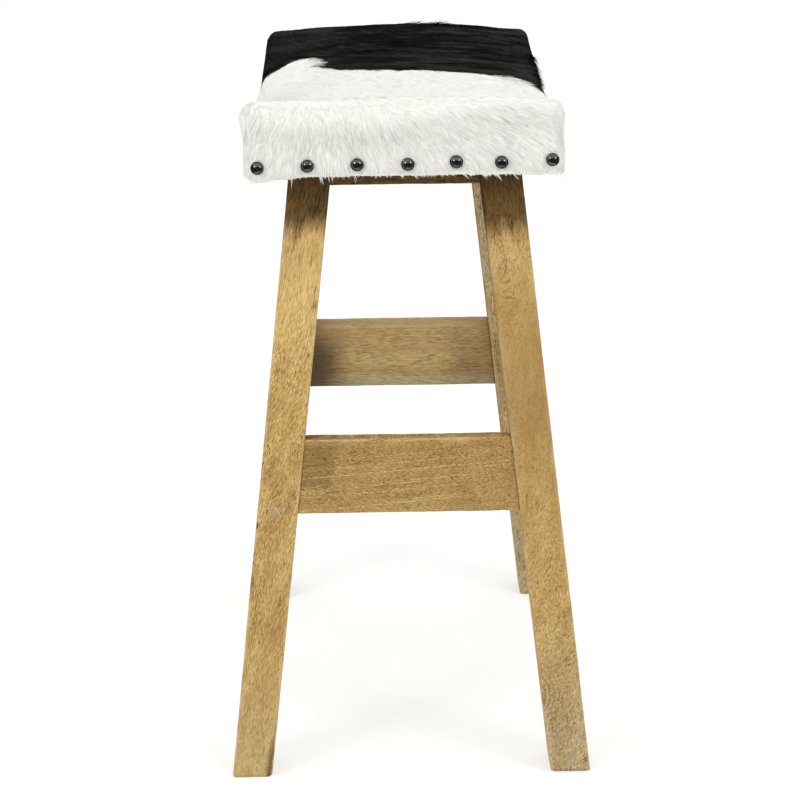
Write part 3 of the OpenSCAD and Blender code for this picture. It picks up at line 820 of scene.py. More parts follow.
# How deep each nail draws the hide in, the square of its hollow's width, and the swell between nails
NAIL_HOLLOW = 0.8
HOLLOW_REACH = 130.0
NAIL_SWELL = 0.7
# Each corner's pleat stands this far in from the side and from the end, and the square of its width
PLEAT_FROM_SIDE = 3
PLEAT_FROM_END = 7
PLEAT_REACH = 14.0


def nail_rows():
    """Nails as node name, place on the hide, and outward direction."""
    rng = np.random.default_rng(5)
    rows = []
    for (dx, dz), x in zip(FRONT_STRAY, END_NAILS):
        rows.append(("front_nails", (x + dx, -COVER_HD, NAIL_Z + dz), (0, -1, 0)))
    for x in END_NAILS:
        dx, dz = rng.uniform(-NAIL_STRAY, NAIL_STRAY, 2)
        rows.append(("rear_nails", (x + dx, COVER_HD, NAIL_Z + dz), (0, 1, 0)))
    for name, sx in (("left_nails", -1), ("right_nails", 1)):
        for y in SIDE_NAILS:
            dy, dz = rng.uniform(-NAIL_STRAY, NAIL_STRAY, 2)
            dy = dy + FIRST_NAIL_IN * (y == SIDE_NAILS[0])
            rows.append((name, (sx * COVER_HW, y + dy, NAIL_Z + dz), (sx, 0, 0)))
    return rows


def skin_details(p):
    """How far the hide stands out from its plain form at points near it."""
    x, y, z = p[..., 0], p[..., 1], p[..., 2]
    on_side = smooth(outline_distance(x, y, 0.0), -12, -2)
    lumps = 0.7 * waves(p, (60, 70, 40), 11) + 0.3 * waves(p, (22, 26, 20), 12)
    out = lumps * (1 - 0.5 * on_side)
    low = smooth(z, HEM_Z + 45, HEM_Z + 8)
    long_side = np.abs(x) / COVER_HW > np.abs(y) / COVER_HD
    turn = 2 * np.pi * np.where(long_side, y, x) / NAIL_PITCH + np.where(long_side, 0, np.pi)
    out = out + on_side * low * NAIL_SWELL * np.cos(turn)
    for _, place, _ in NAILS:
        near = ((p - np.array(place)) ** 2).sum(-1)
        out = out - NAIL_HOLLOW * np.exp(-near / HOLLOW_REACH)
    corner_x = np.abs(x) - (COVER_HW - PLEAT_FROM_SIDE)
    corner_y = np.abs(y) - (COVER_HD - PLEAT_FROM_END)
    pleat = np.exp(-(corner_x ** 2 + corner_y ** 2) / PLEAT_REACH) * smooth(z, HEM_Z + 2, HEM_Z + 20)
    return out - pleat


def skin_distance(p, plain=False):
    """Distance from the outside of the hide, with or without its small details."""
    x, y, z = p[..., 0], p[..., 1], p[..., 2]
    top = top_height(x, y)
    r = edge_radius(x, y)
    share = (z - HEM_Z) / np.maximum(top - r - HEM_Z, 1)
    swell = BULGE * smooth(share, BULGE_FROM, 1)
    side = outline_distance(x, y, swell + stray(x, y, z)) + r
    over = (z - top) * 0.96 + r
    both = np.hypot(np.maximum(side, 0), np.maximum(over, 0)) + np.minimum(np.maximum(side, over), 0) - r
    if not plain:
        both = both - skin_details(p)
    return both + COAT_T


def on_hide(row):
    """A nail's row with its place moved out or in to the hide."""
    name, place, out = row
    place, out = np.array(place, float), np.array(out, float)
    for _ in range(4):
        place = place - (skin_distance(place, plain=True) - COAT_T) * out
    return name, tuple(place), tuple(out)


NAILS = [on_hide(row) for row in nail_rows()]
# The distance over which the hide's slope is measured
SLOPE_STEP = 0.4


def settle(points, height=0.0, rounds=2):
    """Moves points to a height over the hide. Returns them and the outward direction there."""
    p = points.copy()
    for _ in range(rounds):
        here = skin_distance(p)
        ahead = [skin_distance(p + SLOPE_STEP * axis) for axis in np.eye(3)]
        slope = np.stack([there - here for there in ahead], -1) / SLOPE_STEP
        normal = unit(slope)
        p = p - (here - height)[..., None] * normal
    return p, normal


# Where the front hem hangs lower: distance across, how much lower, and how far each dip reaches
HEM_DIPS = [(-153, 4.6, 13), (-125, 1.8, 20), (140, 1.6, 4), (160, 1.5, 5)]


def hem_height(p):
    """Height of the hide's ragged lower edge near a point."""
    x, y = p[..., 0], p[..., 1]
    flat = np.stack([x, y, np.zeros_like(x)], -1)
    ragged = 0.5 * waves(flat, 13, 21) + 0.35 * waves(flat, 5, 22)
    front = smooth(y, -COVER_HD + 25, -COVER_HD)
    dip = sum(lower * np.exp(-((x - across) / reach) ** 2) for across, lower, reach in HEM_DIPS)
    return HEM_Z + ragged - front * dip


# Front edge of the black patch, as distances across and along. The seat is black from there to its rear end
PATCH_EDGE = [
    (-200, 58), (-170, 82), (-164, 85), (-154, 90), (-143, 103), (-132, 118), (-123, 124), (-114, 127),
    (-107, 125), (-104, 113), (-101, 98), (-94, 91), (-83, 86.5), (-75, 80), (-65, 77), (-36, 72),
    (0, 67), (40, 67), (82, 64), (117, 56), (135, 55), (142, 45), (163, 21), (170, 8),
    (180, -12), (200, -20),
]


def at_places(rows, x):
    """Values between those of rows, each a place and its value."""
    places, values = (np.array(v, float) for v in zip(*rows))
    return np.interp(x, places, values)


def blackness(p, ragged=1.0):
    """Above 0 where the coat is black."""
    x, y, z = p[..., 0], p[..., 1], p[..., 2]
    down = np.maximum(SEAT_Z + 50 - z, 0)
    spread = x + np.sign(x) * down * smooth(np.abs(x), 120, 160)
    edge = at_places(PATCH_EDGE, np.clip(spread, -200, 200))
    ragged = ragged * (0.3 + 0.7 * smooth(x, -105, -70))
    edge = edge + ragged * (2.2 * waves(p, 14, 31) + 1.5 * waves(p, 4, 32))
    return y - edge


# The hide

# Points along the hide's ends, sides and corners, and its rows on the skirt, round the roll and on the top
END_COLUMNS = 70
SIDE_COLUMNS = 96
TURN_COLUMNS = 10
SKIRT_ROWS = 26
TURN_ROWS = 8
TOP_ROWS = 30
# The rows of the hide under which the wadding and the foam start
WADDING_FROM = 5
FOAM_FROM = SKIRT_ROWS - 3
# How the raw edge turns in at the hem: depth under the outside, and height over the edge
HEM_TURN = ((0.45, -0.55), (1.5, -0.8), (2.5, -0.1), (2.7, 4.0), (2.7, 12.0))


def outline_ring(inset=0.0):
    """The seat's outline drawn in by an inset, as points anticlockwise from above."""
    hw, hd, r = COVER_HW - inset, COVER_HD - inset, max(COVER_CORNER_R - inset, 1.0)
    points = []
    for q in range(4):
        cx = (1 if q in (0, 3) else -1) * (hw - r)
        cy = (1 if q < 2 else -1) * (hd - r)
        for step in range(TURN_COLUMNS):
            angle = math.radians(90 * q + 90 * step / TURN_COLUMNS)
            points.append((cx + r * math.cos(angle), cy + r * math.sin(angle)))
        run, count = (2 * (hw - r), END_COLUMNS) if q % 2 == 0 else (2 * (hd - r), SIDE_COLUMNS)
        end = math.radians(90 * q + 90)
        for step in range(count):
            share = run * step / count
            points.append((cx + r * math.cos(end) - share * math.sin(end),
                           cy + r * math.sin(end) + share * math.cos(end)))
    return np.array(points)


def hide_rows():
    """Rows of points over the hide from its hem to the middle of the seat, before they settle on it."""
    rim = outline_ring()
    top = top_height(*rim.T)
    hem = hem_height(np.column_stack([rim, top]))
    rows = []
    for share in np.linspace(0, 1, SKIRT_ROWS):
        rows.append(np.column_stack([rim, hem + share * (top - EDGE_R - hem)]))
    for k in range(1, TURN_ROWS + 1):
        angle = math.pi / 2 * k / TURN_ROWS
        drawn = outline_ring(EDGE_R * (1 - math.cos(angle)))
        rows.append(np.column_stack([drawn, top_height(*drawn.T) - EDGE_R * (1 - math.sin(angle))]))
    inner = rows[-1][:, :2]
    for share in np.linspace(1, 0, TOP_ROWS + 1)[1:-1]:
        ring = inner * share
        rows.append(np.column_stack([ring, top_height(*ring.T)]))
    return np.array(rows)


def make_hide():
    """Points and faces of the hide, which side of it each point is on, and where its outside starts."""
    rows = hide_rows()
    settled, normal = (part.reshape(rows.shape) for part in settle(rows.reshape(-1, 3), rounds=3))
    settled[0, :, 2] = rows[0, :, 2]
    flesh = []
    for depth, lift in reversed(HEM_TURN):
        ring = settled[0] - normal[0] * depth
        ring[:, 2] = settled[0, :, 2] + lift
        flesh.append(ring)
    grid = np.concatenate([flesh, settled])
    columns = grid.shape[1]
    middle, _ = settle(np.array([[0, 0, top_height(0.0, 0.0)]]))
    points = np.concatenate([grid.reshape(-1, 3), middle])
    faces = [grid_faces(len(grid), columns), fan_faces((len(grid) - 1) * columns, columns, len(points) - 1)]
    first_outside = len(flesh) * columns
    return points, faces, (np.arange(len(points)) < first_outside).astype(float), first_outside


hide_points, hide_faces, hide_flesh, first_outside = make_hide()


def hide_material():
    """Skin and undercoat, with the streaks of the lying hair."""
    paint = Paint("cowhide")
    lie = paint.vector("lie")
    streak = paint.noise(paint.scaled(lie, 1.6, 14, 1.6), 3, 0.6)
    fine = paint.noise(paint.scaled(lie, 0.6, 7, 0.6), 2, 0.6)
    both = streak * 0.6 + fine * 0.4
    share = paint.span(both, 0.35, 0.65)
    white = paint.mix(share, rgb(240, 239, 232), rgb(250, 250, 245))
    black = paint.mix(share, rgb(6, 5, 5), rgb(22, 20, 20))
    edge = paint.value("black") + (both - 0.5) * 9.0
    colour = paint.mix(paint.span(edge, -1.0, 1.0), white, black)
    suede = paint.mix(paint.noise(paint.scaled(lie, 5), 3), rgb(176, 160, 136), rgb(206, 194, 172))
    return paint.finish({
        "Base Color": paint.mix(paint.value("flesh"), colour, suede),
        "Roughness": paint.span(both, 0.3, 0.7, 0.5, 0.68),
        "Specular IOR Level": 0.3,
        "Normal": paint.bump(both, 0.5, 0.5),
    })


# How the coat lies

# Lean of the coat on the front side away from straight down, towards the right, at places across it
FRONT_LEAN = [
    (-170, -30), (-140, -20), (-115, -6), (-80, 6), (-40, 20), (0, 34), (50, 48), (100, 56), (170, 62),
]
# Lean on the white lobe left of the whorl, away from straight to the right, towards the rear
LOBE_LEAN = [(-170, 35), (-150, 48), (-135, 50), (-120, 22), (-105, 2), (-95, -12), (-80, -20)]
# Lean in front of the parting
FRONT_HALF_LEAN = [(-170, -125), (-140, -95), (-115, -60), (-92, -38), (-60, -20), (0, -8)]
# The parting between the whorl and the left edge, as distance across and along
PARTING = [(-170, 18), (-151, 16), (-135, 23), (-122, 31), (-107, 38), (-92, 57)]


def heading(degrees):
    """Direction seen from above, turned from straight to the right towards the rear."""
    turn = np.radians(degrees)
    return np.stack([np.cos(turn), np.sin(turn), np.zeros_like(turn)], -1)


def hanging(lean, along_x):
    """Direction straight down a side, turned by a lean along it."""
    level = [np.sin(lean), np.zeros_like(lean)]
    return np.stack([*(level if along_x else level[::-1]), -np.cos(lean)], -1)


def lay_on_top(p, front_lean):
    """Direction in which the hair lies on the top: round the whorl, off the parting, and over the front."""
    x, y = p[..., 0], p[..., 1]
    radial = heading(at_places(FRONT_HALF_LEAN, x))
    sideways = heading(-3 - 22 * smooth(x, 60, 165) - 35 * smooth(x, 90, 165) * smooth(y, -20, 80))
    pull = smooth(x, -90, 30) * smooth(y, -150, 0)
    top = unit(radial * (1 - 0.9 * pull)[..., None] + sideways * pull[..., None])
    dark = smooth(blackness(p, 0.0), 6, 32)[..., None]
    behind = heading(-65 + 60 * smooth(x, -150, -50))
    lobe = unit(heading(at_places(LOBE_LEAN, x)) * (1 - dark) + behind * dark)
    share = (smooth(-x, 50, 85) * smooth(y - at_places(PARTING, x), -9, 9))[..., None]
    top = unit(top * (1 - share) + lobe * share)
    ends = (0.7 * smooth(y, -COVER_HD + 105, -COVER_HD + 5))[..., None]
    over_front = np.stack([np.sin(front_lean), -np.cos(front_lean), np.zeros_like(x)], -1)
    return unit(top * (1 - ends) + over_front * ends)


def lay(p, normal):
    """Direction in which the hair lies at points of the hide."""
    x, y, z = p[..., 0], p[..., 1], p[..., 2]
    nx, ny, nz = normal[..., 0], normal[..., 1], normal[..., 2]
    front_lean = np.radians(at_places(FRONT_LEAN, x)) * (0.72 + 0.28 * smooth(z, HEM_Z + 5, HEM_Z + 65))
    rear_lean = np.radians(30 + 20 * smooth(x, -100, 120))
    left_lean = np.radians(-18 + 42 * smooth(y, -180, 160))
    right_lean = np.radians(14 - 30 * smooth(y, -180, 120))
    sides = 0.0
    for facing, lean in ((-ny, front_lean), (ny, rear_lean)):
        sides = sides + hanging(lean, True) * np.maximum(facing, 0)[..., None] ** 2
    for facing, lean in ((-nx, left_lean), (nx, right_lean)):
        sides = sides + hanging(lean, False) * np.maximum(facing, 0)[..., None] ** 2
    share = smooth(nz, 0.1, 0.75)[..., None]
    mixed = lay_on_top(p, front_lean) * share + unit(sides) * (1 - share)
    swirl = np.radians(8) * waves(p, 45, 41) + np.radians(4) * waves(p, 17, 42)
    flat = unit(mixed - (mixed * normal).sum(-1, keepdims=True) * normal)
    across = np.cross(normal, flat)
    return flat * np.cos(swirl)[..., None] + across * np.sin(swirl)[..., None]


# The coat

# Seed of the coat's random numbers, and the shares of a lock's length at which it is laid on the hide
COAT_SEED = 7
LOCK_NODES = np.linspace(0, 1, 6)
# Hairs lie on their lock at these shares of its length, have these half widths there, and end in a point.
# Each has three points along its left, three along its ridge, three along its right, and its tip
HAIR_NODES = np.array([0.0, 0.38, 0.74, 1.0])
HAIR_HALF_WIDTHS = np.array([0.17, 0.2, 0.14, 0.0])
HAIR_DEPTHS = np.concatenate([HAIR_NODES[:3]] * 3 + [HAIR_NODES[3:]])
HAIR_POINTS = len(HAIR_DEPTHS)
HAIR_QUADS = ((0, 1, 4, 3), (1, 2, 5, 4), (3, 4, 7, 6), (4, 5, 8, 7))
HAIR_TRIS = ((2, 9, 5), (5, 9, 8))
# Where the top's coat is split into pieces along the seat
TOP_SPLITS = [-160, -80, 0, 80, 160]
# A region gets a piece of a colour where it has more hairs of it than this
FEWEST_HAIRS = 40
# Locks of hair over each square millimetre, and hairs in a lock
LOCKS_PER_AREA = 0.17
HAIRS = 5
# Length of the locks on the top, what the sides add, and the share that the rolled edge takes off
LOCK_LENGTH = 13
SIDE_LONGER = 8
ROLL_SHORTER = 0.45
# How far the locks' tips stand up on the top, what the sides add, and the share that the roll takes off
LOCK_LIFT = 0.2
SIDE_LIFT = 0.5
ROLL_FLATTER = 0.65
# Locks drop by this share of their length, and end this much short of the hem
LOCK_DROP = 0.85
HEM_SHORT = 1.6
# Share of the locks that hang past the hem, and by how much
WISPS = 0.05
WISP_LENGTHS = (3, 13)
# Share of the white locks with a dull tone, on the sides a painted shade for the shadows between hairs
GAP_SHADE_LOCKS = 0.06
# Places where the coat stands up: centre, radius, lift, and added length
TUFTS = [
    ((165, 140, 752), 13, 8.0, 7),
    ((166, 108, 746), 12, 8.5, 9),
    ((167, 84, 742), 12, 9.0, 10),
    ((42, 224, 784), 12, 6.5, 8),
    ((12, 226, 785), 13, 6.0, 7),
    ((161, -224, 750), 9, 4.0, 2),
    ((-103, 112, 758), 15, 0.8, 8),
    ((118, 54, 749), 9, 1.5, 10),
    ((138, 46, 746), 12, 1.2, 11),
]
# Places where white hair feathers out over the black coat: middle and radius, and how far it lifts off there
FEATHERS = [((-108, 112), 13), ((118, 54), 9), ((140, 45), 14)]
FEATHER_LIFT = 1.1
# Spread of the locks' lengths and lifts, how much the lift swells in patches, and how far locks stray
LENGTH_SPREAD = (0.75, 1.25)
LIFT_SPREAD = (0.4, 1.2)
LIFT_SWELL = 0.35
LOCK_STRAY = 3.5
# Half widths of the locks, the share that they lose to their tips, and the hairs' lengths as shares of theirs
LOCK_HALF_WIDTHS = (0.7, 1.5)
LOCK_NARROWS = 0.4
HAIR_LENGTHS = (0.6, 1.0)
# How far hairs rise out of their lock, slide along it, roll in degrees, vary in width, and stand up as ridges
HAIR_RISE = (-0.15, 0.4)
HAIR_SLIDE = 1.5
HAIR_ROLL = 8
WIDTH_SPREAD = (0.75, 1.25)
RIDGE_HEIGHT = 0.7
# How much locks, hairs and both sides of a hair face sideways, and the shares of it that are left on the top
LOCK_TILT = 0.12
HAIR_TILT = 0.1
RIDGE_TURN = 0.25
TOP_TILT = 0.2
TOP_TURN = 0.25
# How much the coat faces towards its tips, and what the left part of the top adds to it
COAT_FORWARD = -0.04
LEFT_FORWARD = 0.14
# The share of a lock over which a hair's direction is measured, and how far colours mix at the patch's edge
WAY_STEP = 0.05
EDGE_MIX = 1.2


def sample_roots(rng):
    """Roots of the locks, spread evenly over the outside of the hide."""
    quads = hide_faces[0][hide_faces[0].min(1) >= first_outside]
    tris = np.concatenate([quads[:, [0, 1, 2]], quads[:, [0, 2, 3]], hide_faces[1]])
    a, b, c = (hide_points[tris[:, k]] for k in range(3))
    area = np.linalg.norm(np.cross(b - a, c - a), axis=1) / 2
    ends = np.cumsum(area)
    count = int(ends[-1] * LOCKS_PER_AREA)
    picks = np.searchsorted(ends, (np.arange(count) + rng.random(count)) / count * ends[-1])
    u, v = rng.random(count), rng.random(count)
    over = u + v > 1
    u[over], v[over] = 1 - u[over], 1 - v[over]
    return a[picks] + u[:, None] * (b - a)[picks] + v[:, None] * (c - a)[picks]


def around_nails(p):
    """Pushes hair off the nails' heads."""
    for _, place, out in NAILS:
        from_nail = p - np.array(place)
        away = from_nail - (from_nail @ np.array(out))[..., None] * np.array(out)
        far = np.linalg.norm(away, axis=-1)
        close = (far < NAIL_R) & (np.linalg.norm(from_nail, axis=-1) < 20)
        push = np.where(close, NAIL_R - far, 0.0)
        p = p + unit(away + 1e-6) * push[..., None]
    return p


def grow_locks(roots, rng):
    """Middle lines of locks: points and outward directions at LOCK_NODES, and their room over the hem."""
    count = len(roots)
    p, normal = settle(roots, 0.1)
    on_side = smooth(normal[:, 2], 0.6, 0.1)
    on_roll = smooth(normal[:, 2], 0.97, 0.85) * smooth(normal[:, 2], 0.2, 0.5)
    length = (LOCK_LENGTH + SIDE_LONGER * on_side) * (1 - ROLL_SHORTER * on_roll)
    length = length * rng.uniform(*LENGTH_SPREAD, count)
    swell = rng.uniform(*LIFT_SPREAD, count) + LIFT_SWELL * waves(roots, 12, 51)
    lift = (LOCK_LIFT + SIDE_LIFT * on_side) * swell
    lift = lift * (1 - ROLL_FLATTER * on_roll)
    extra = np.zeros(count)
    for centre, radius, tuft_lift, longer in TUFTS:
        near = np.exp(-((roots - np.array(centre)) ** 2).sum(1) / radius ** 2)
        lift = lift + tuft_lift * near * rng.uniform(0.2, 1.4, count)
        extra = extra + longer * near
    length = length + extra
    hem_room = (roots[:, 2] - hem_height(roots)) / LOCK_DROP - HEM_SHORT + rng.exponential(0.35, count)
    wisps = rng.random(count) < WISPS
    hem_room = hem_room + np.where(wisps, rng.uniform(*WISP_LENGTHS, count), 0)
    hangs = normal[:, 2] < 0.4
    spare = np.where(hangs, np.maximum(hem_room - length, 0), 9.0)
    length = np.where(hangs, np.minimum(length, np.maximum(hem_room, 3)), length)
    jitter = np.radians(rng.normal(0, LOCK_STRAY, count))[:, None]
    points, normals = [p], [normal]
    for before, node in zip(LOCK_NODES, LOCK_NODES[1:]):
        way = lay(p, normal)
        way = way * np.cos(jitter) + np.cross(normal, way) * np.sin(jitter)
        reach = length * (node - before)
        p, normal = settle(p + way * reach[:, None], 0.15 + lift * node ** 1.2)
        points.append(p)
        normals.append(normal)
    return np.stack(points, 1), np.stack(normals, 1), spare


def along_locks(values, shares):
    """Values at LOCK_NODES, read at shares of each lock's length."""
    at = shares * (len(LOCK_NODES) - 1)
    low = np.minimum(at.astype(int), len(LOCK_NODES) - 2)
    part = (at - low)[..., None]
    rows = np.arange(len(values))[:, None]
    return values[rows, low] * (1 - part) + values[rows, low + 1] * part


def feather_share(root):
    """How much white hair feathers out over the black coat at the roots of hairs."""
    share = np.zeros(len(root))
    for (x, y), radius in FEATHERS:
        share = np.maximum(share, np.exp(-((root[:, 0] - x) ** 2 + (root[:, 1] - y) ** 2) / radius ** 2))
    return share


def ribbon(left, ridge, right, tip):
    """The ten points of each hair, or directions there, from the rows that hold its sides, ridge and tip."""
    return np.concatenate([left[:, :3], ridge[:, :3], right[:, :3], tip[:, 3:]], 1)


def hair_tones(rng, lines, normals, lock, black, on_side):
    """Tone of each hair, from 0 for dull to 1 for bright. The black coat has broad streaks of it, a painted
    sheen, and dull white hairs are painted shade.
    """
    root, up = lines[:, 0][lock], normals[:, 0, 2]
    lock_tone = rng.normal(0, 1, len(lines))[lock]
    black_tone = 0.5 + 0.16 * lock_tone + 0.1 * rng.normal(0, 1, len(lock))
    # Broad brighter streaks on the black coat, more towards its right: a painted sheen
    streaks = 0.5 * waves(root, (50, 8, 26), 61) + 0.42 * waves(root, (24, 3, 12), 62)
    streaks = streaks + 0.16 * smooth(root[:, 0], -40, 50) - 0.1
    # Some white locks on the sides are dull: painted shade for the shadows between hairs
    gap_shade_locks = (rng.random(len(lines)) < GAP_SHADE_LOCKS)[lock]
    white_tone = 0.9 + 0.1 * lock_tone - 0.55 * gap_shade_locks * on_side
    # White hairs on the left of the front roll are dulled: painted shade, as the roll faces the lamps more
    # than the top does
    painted_crest_shade = smooth(up, 0.99, 0.93) * smooth(up, 0.35, 0.7) * (lines[:, 0, 1] < -150)
    white_tone = white_tone - 0.16 * painted_crest_shade[lock] * smooth(-root[:, 0], -120, 60)
    return np.where(black, np.clip(black_tone + streaks, 0, 1) ** 1.9, np.clip(white_tone, 0, 1))


def make_coat():
    """Hair as thin ribbons, returned by name as arrays with one row for each hair."""
    rng = np.random.default_rng(COAT_SEED)
    roots = sample_roots(rng)
    lines, normals, spare = grow_locks(roots, rng)
    lock = np.repeat(np.arange(len(roots)), HAIRS)
    count = len(lock)
    root = lines[:, 0][lock]
    fair = blackness(lines[:, 0])[lock] <= 0
    feather = feather_share(root)

    across_place = rng.uniform(-1, 1, count)
    lock_width = rng.uniform(*LOCK_HALF_WIDTHS, len(roots))[lock]
    shares = HAIR_NODES * rng.uniform(*HAIR_LENGTHS, count)[:, None]
    line = lines[lock]
    out = unit(along_locks(normals[lock], shares))
    ahead = along_locks(line, np.minimum(shares + WAY_STEP, 1.0))
    behind = along_locks(line, np.maximum(shares - WAY_STEP, 0.0))
    way = unit(ahead - behind)
    across = unit(np.cross(out, way))
    gather = across_place[:, None] * lock_width[:, None] * (1 - LOCK_NARROWS * shares ** 1.5)
    middle = along_locks(line, shares) + across * gather[..., None]
    middle = middle + out * (rng.uniform(*HAIR_RISE, count)[:, None] * shares)[..., None]
    slide = np.minimum(rng.uniform(-HAIR_SLIDE, HAIR_SLIDE, count), spare[lock])
    middle = middle + way * slide[:, None, None]
    middle = middle + out * ((FEATHER_LIFT * feather * fair)[:, None] * shares)[..., None]
    middle = around_nails(middle)
    roll = np.radians(rng.normal(0, HAIR_ROLL, count))[:, None, None]
    flat = across * np.cos(roll) + out * np.sin(roll)
    half = (rng.uniform(*WIDTH_SPREAD, count)[:, None] * HAIR_HALF_WIDTHS)[..., None]
    points = ribbon(middle - flat * half, middle + out * (RIDGE_HEIGHT * half), middle + flat * half, middle)

    on_side = smooth(out[..., 2:], 0.8, 0.2)
    tilt = (LOCK_TILT * across_place + rng.normal(0, HAIR_TILT, count))[:, None, None]
    tilt = tilt * (TOP_TILT + (1 - TOP_TILT) * on_side)
    left_lean = LEFT_FORWARD * smooth(-root[:, 0], 40, 115) * smooth(-root[:, 1], -60, 10)
    forward = left_lean[:, None, None] * (1 - on_side) + COAT_FORWARD
    facing = []
    for side in (-RIDGE_TURN, 0.0, RIDGE_TURN):
        sideways = tilt + side * (TOP_TURN + (1 - TOP_TURN) * on_side)
        facing.append(unit(out + forward * way + across * sideways))
    black = blackness(lines[:, 3])[lock] + rng.normal(0, EDGE_MIX, count) > 0
    black = np.where(rng.random(count) < feather, ~fair, black)
    return {
        "points": points,
        "facing": ribbon(*facing, facing[1]),
        "root": root,
        "out": normals[:, 0][lock],
        "black": black,
        "tone": hair_tones(rng, lines, normals, lock, black, on_side[:, 0, 0]),
    }


def hair_material(name, dull, bright, root, shine):
    """Fine lying hair. Each hair is dull to bright by its tone, and near its start it turns to the root's
    colour, painted shade deep in the coat.
    """
    paint = Paint(name)
    tone = paint.value("tone")
    # Near its start each hair mixes into the root colour: painted shade deep in the coat
    painted_root_shade = paint.span(paint.value("depth"), 0.0, 0.5, 0.3, 0.0)
    return paint.finish({
        "Base Color": paint.mix(painted_root_shade, paint.mix(tone, dull, bright), root),
        "Roughness": paint.span(tone, 0.0, 1.0, 0.36, 0.5),
        "Specular IOR Level": shine,
    })


def hair_piece(name, chosen, coat, material, axes):
    """One piece of the coat from the chosen hairs. Its map is the coat seen along the third axis."""
    points = coat["points"][chosen].reshape(-1, 3)
    count = int(chosen.sum())
    first = HAIR_POINTS * np.arange(count)[:, None]
    faces = [np.concatenate([first + np.array(face) for face in kind]) for kind in (HAIR_QUADS, HAIR_TRIS)]
    attributes = {"tone": np.repeat(coat["tone"][chosen], HAIR_POINTS), "depth": np.tile(HAIR_DEPTHS, count)}
    made = mesh_object(name, points, faces, attributes, normals=coat["facing"][chosen].reshape(-1, 3))
    seen = points[:, axes]
    seen = (seen - seen.min(0)) / np.ptp(seen, axis=0).max()
    corner = np.zeros(len(made.data.loops), np.int32)
    made.data.loops.foreach_get("vertex_index", corner)
    made.data.uv_layers.new(name="OFBake").data.foreach_set("uv", seen[corner].astype(np.float32).ravel())
    return dress(made, "cowhide", material)


def coat_regions(root, out):
    """Regions of the coat by name: the hairs in each, and the two axes of its map."""
    top = out[:, 2] > 0.62
    end = ~top & (np.abs(out[:, 1]) > np.abs(out[:, 0]))
    band = np.searchsorted(TOP_SPLITS, root[:, 1])
    regions = {}
    for half, here in (("left", root[:, 0] < 0), ("right", root[:, 0] >= 0)):
        regions[half] = (~top & ~end & here, (1, 2))
        for k in range(len(TOP_SPLITS) + 1):
            regions[f"top_{half}_{k + 1}"] = (top & (band == k) & here, (0, 1))
        regions[f"front_{half}"] = (end & (root[:, 1] < 0) & here, (0, 2))
        regions[f"rear_{half}"] = (end & (root[:, 1] > 0) & here, (0, 2))
    return regions


def make_seat():
    """The hide with its coat."""
    _, n = settle(hide_points, rounds=1)
    way = lay(hide_points, n)
    frame_at = (np.cross(n, way), way, n)
    hide = mesh_object("cowhide_hide", hide_points, hide_faces, {
        "lie": np.stack([(hide_points * axis).sum(1) for axis in frame_at], 1),
        "black": blackness(hide_points, 0.6),
        "flesh": hide_flesh,
    })
    dress(hide, "cowhide", hide_material(), "cowhide_cover")

    coat = make_coat()
    # Root colours are painted shade at the hairs' starts; the white's dull colour also makes the painted
    # shade between hairs and on the front roll, and the black's bright colour its painted sheen
    white = hair_material("white_hair", rgb(206, 206, 197), rgb(250, 250, 245), rgb(242, 241, 234), 0.3)
    black = hair_material("black_hair", rgb(3, 3, 2), rgb(52, 51, 48), rgb(2, 2, 2), 0.03)
    kinds = (("white", ~coat["black"], white), ("black", coat["black"], black))
    for region, (inside, axes) in coat_regions(coat["root"], coat["out"]).items():
        for colour, is_colour, material in kinds:
            chosen = inside & is_colour
            if chosen.sum() > FEWEST_HAIRS:
                hair_piece(f"{colour}_coat_{region}", chosen, coat, material, axes)


def soft_material(name, dark, light, size):
    paint = Paint(name)
    fluff = paint.noise(paint.scaled(paint.place(), size * MM), 3)
    return paint.finish({
        "Base Color": paint.mix(fluff, dark, light),
        "Roughness": 0.95,
        "Normal": paint.bump(fluff, 0.4, 0.4),
    })


def layer(name, slot_name, node, material, outer, inner, fill):
    """A closed layer of padding between two sets of rows that end over the middle of the seat."""
    rows = np.concatenate([inner[::-1], outer])
    points = np.concatenate([rows.reshape(-1, 3), [inner[-1].mean(0), outer[-1].mean(0)]])
    made = mesh_object(name, points, closed_faces(points, *rows.shape[:2]))
    dress(made, slot_name, material, node)


def settled_rows(rows, depth):
    """Rows of points at a depth under the outside of the hide."""
    return settle(rows.reshape(-1, 3), -depth, rounds=3)[0].reshape(rows.shape)


def make_padding():
    """Wadding and foam, each a small gap under the layer over it."""
    rows = hide_rows()
    around = rows[WADDING_FROM:]
    fluff = soft_material("wadding", rgb(222, 222, 218), rgb(240, 240, 236), 2.0)
    outside, inside = (settled_rows(around, depth) for depth in (HIDE_T + LAYER_GAP, HIDE_T + WADDING_T))
    layer("wadding_layer", "wadding", "wadding", fluff, outside, inside, 0.7)
    outside = settled_rows(rows[FOAM_FROM:], HIDE_T + WADDING_T + LAYER_GAP)
    under = outside.copy()
    under[..., 2] = saddle(under[..., 1], DECK_T + LAYER_GAP)
    outside[..., 2] = np.maximum(outside[..., 2], under[..., 2] + 0.5)
    foam = soft_material("foam", rgb(214, 200, 150), rgb(228, 216, 170), 1.0)
    layer("foam_filling", "foam", "foam_pad", foam, outside, under, 0.8)


make_seat()
make_padding()


# Nails

# A nail's head: its crown inside the rim, its points, its rim, and how far it may lean and be out of round
NAIL_CROWN_R = NAIL_R - 1.0
CROWN_H = NAIL_DOME - 0.9
NAIL_COLUMNS = 40
CROWN_STEPS = 12
RIM_STEPS = 6
RIM_HALF_WIDTH = 0.55
RIM_HALF_HEIGHT = 0.45
RIM_MIDDLE = 0.75
NAIL_LEAN = 0.035
NAIL_DENT = 0.006


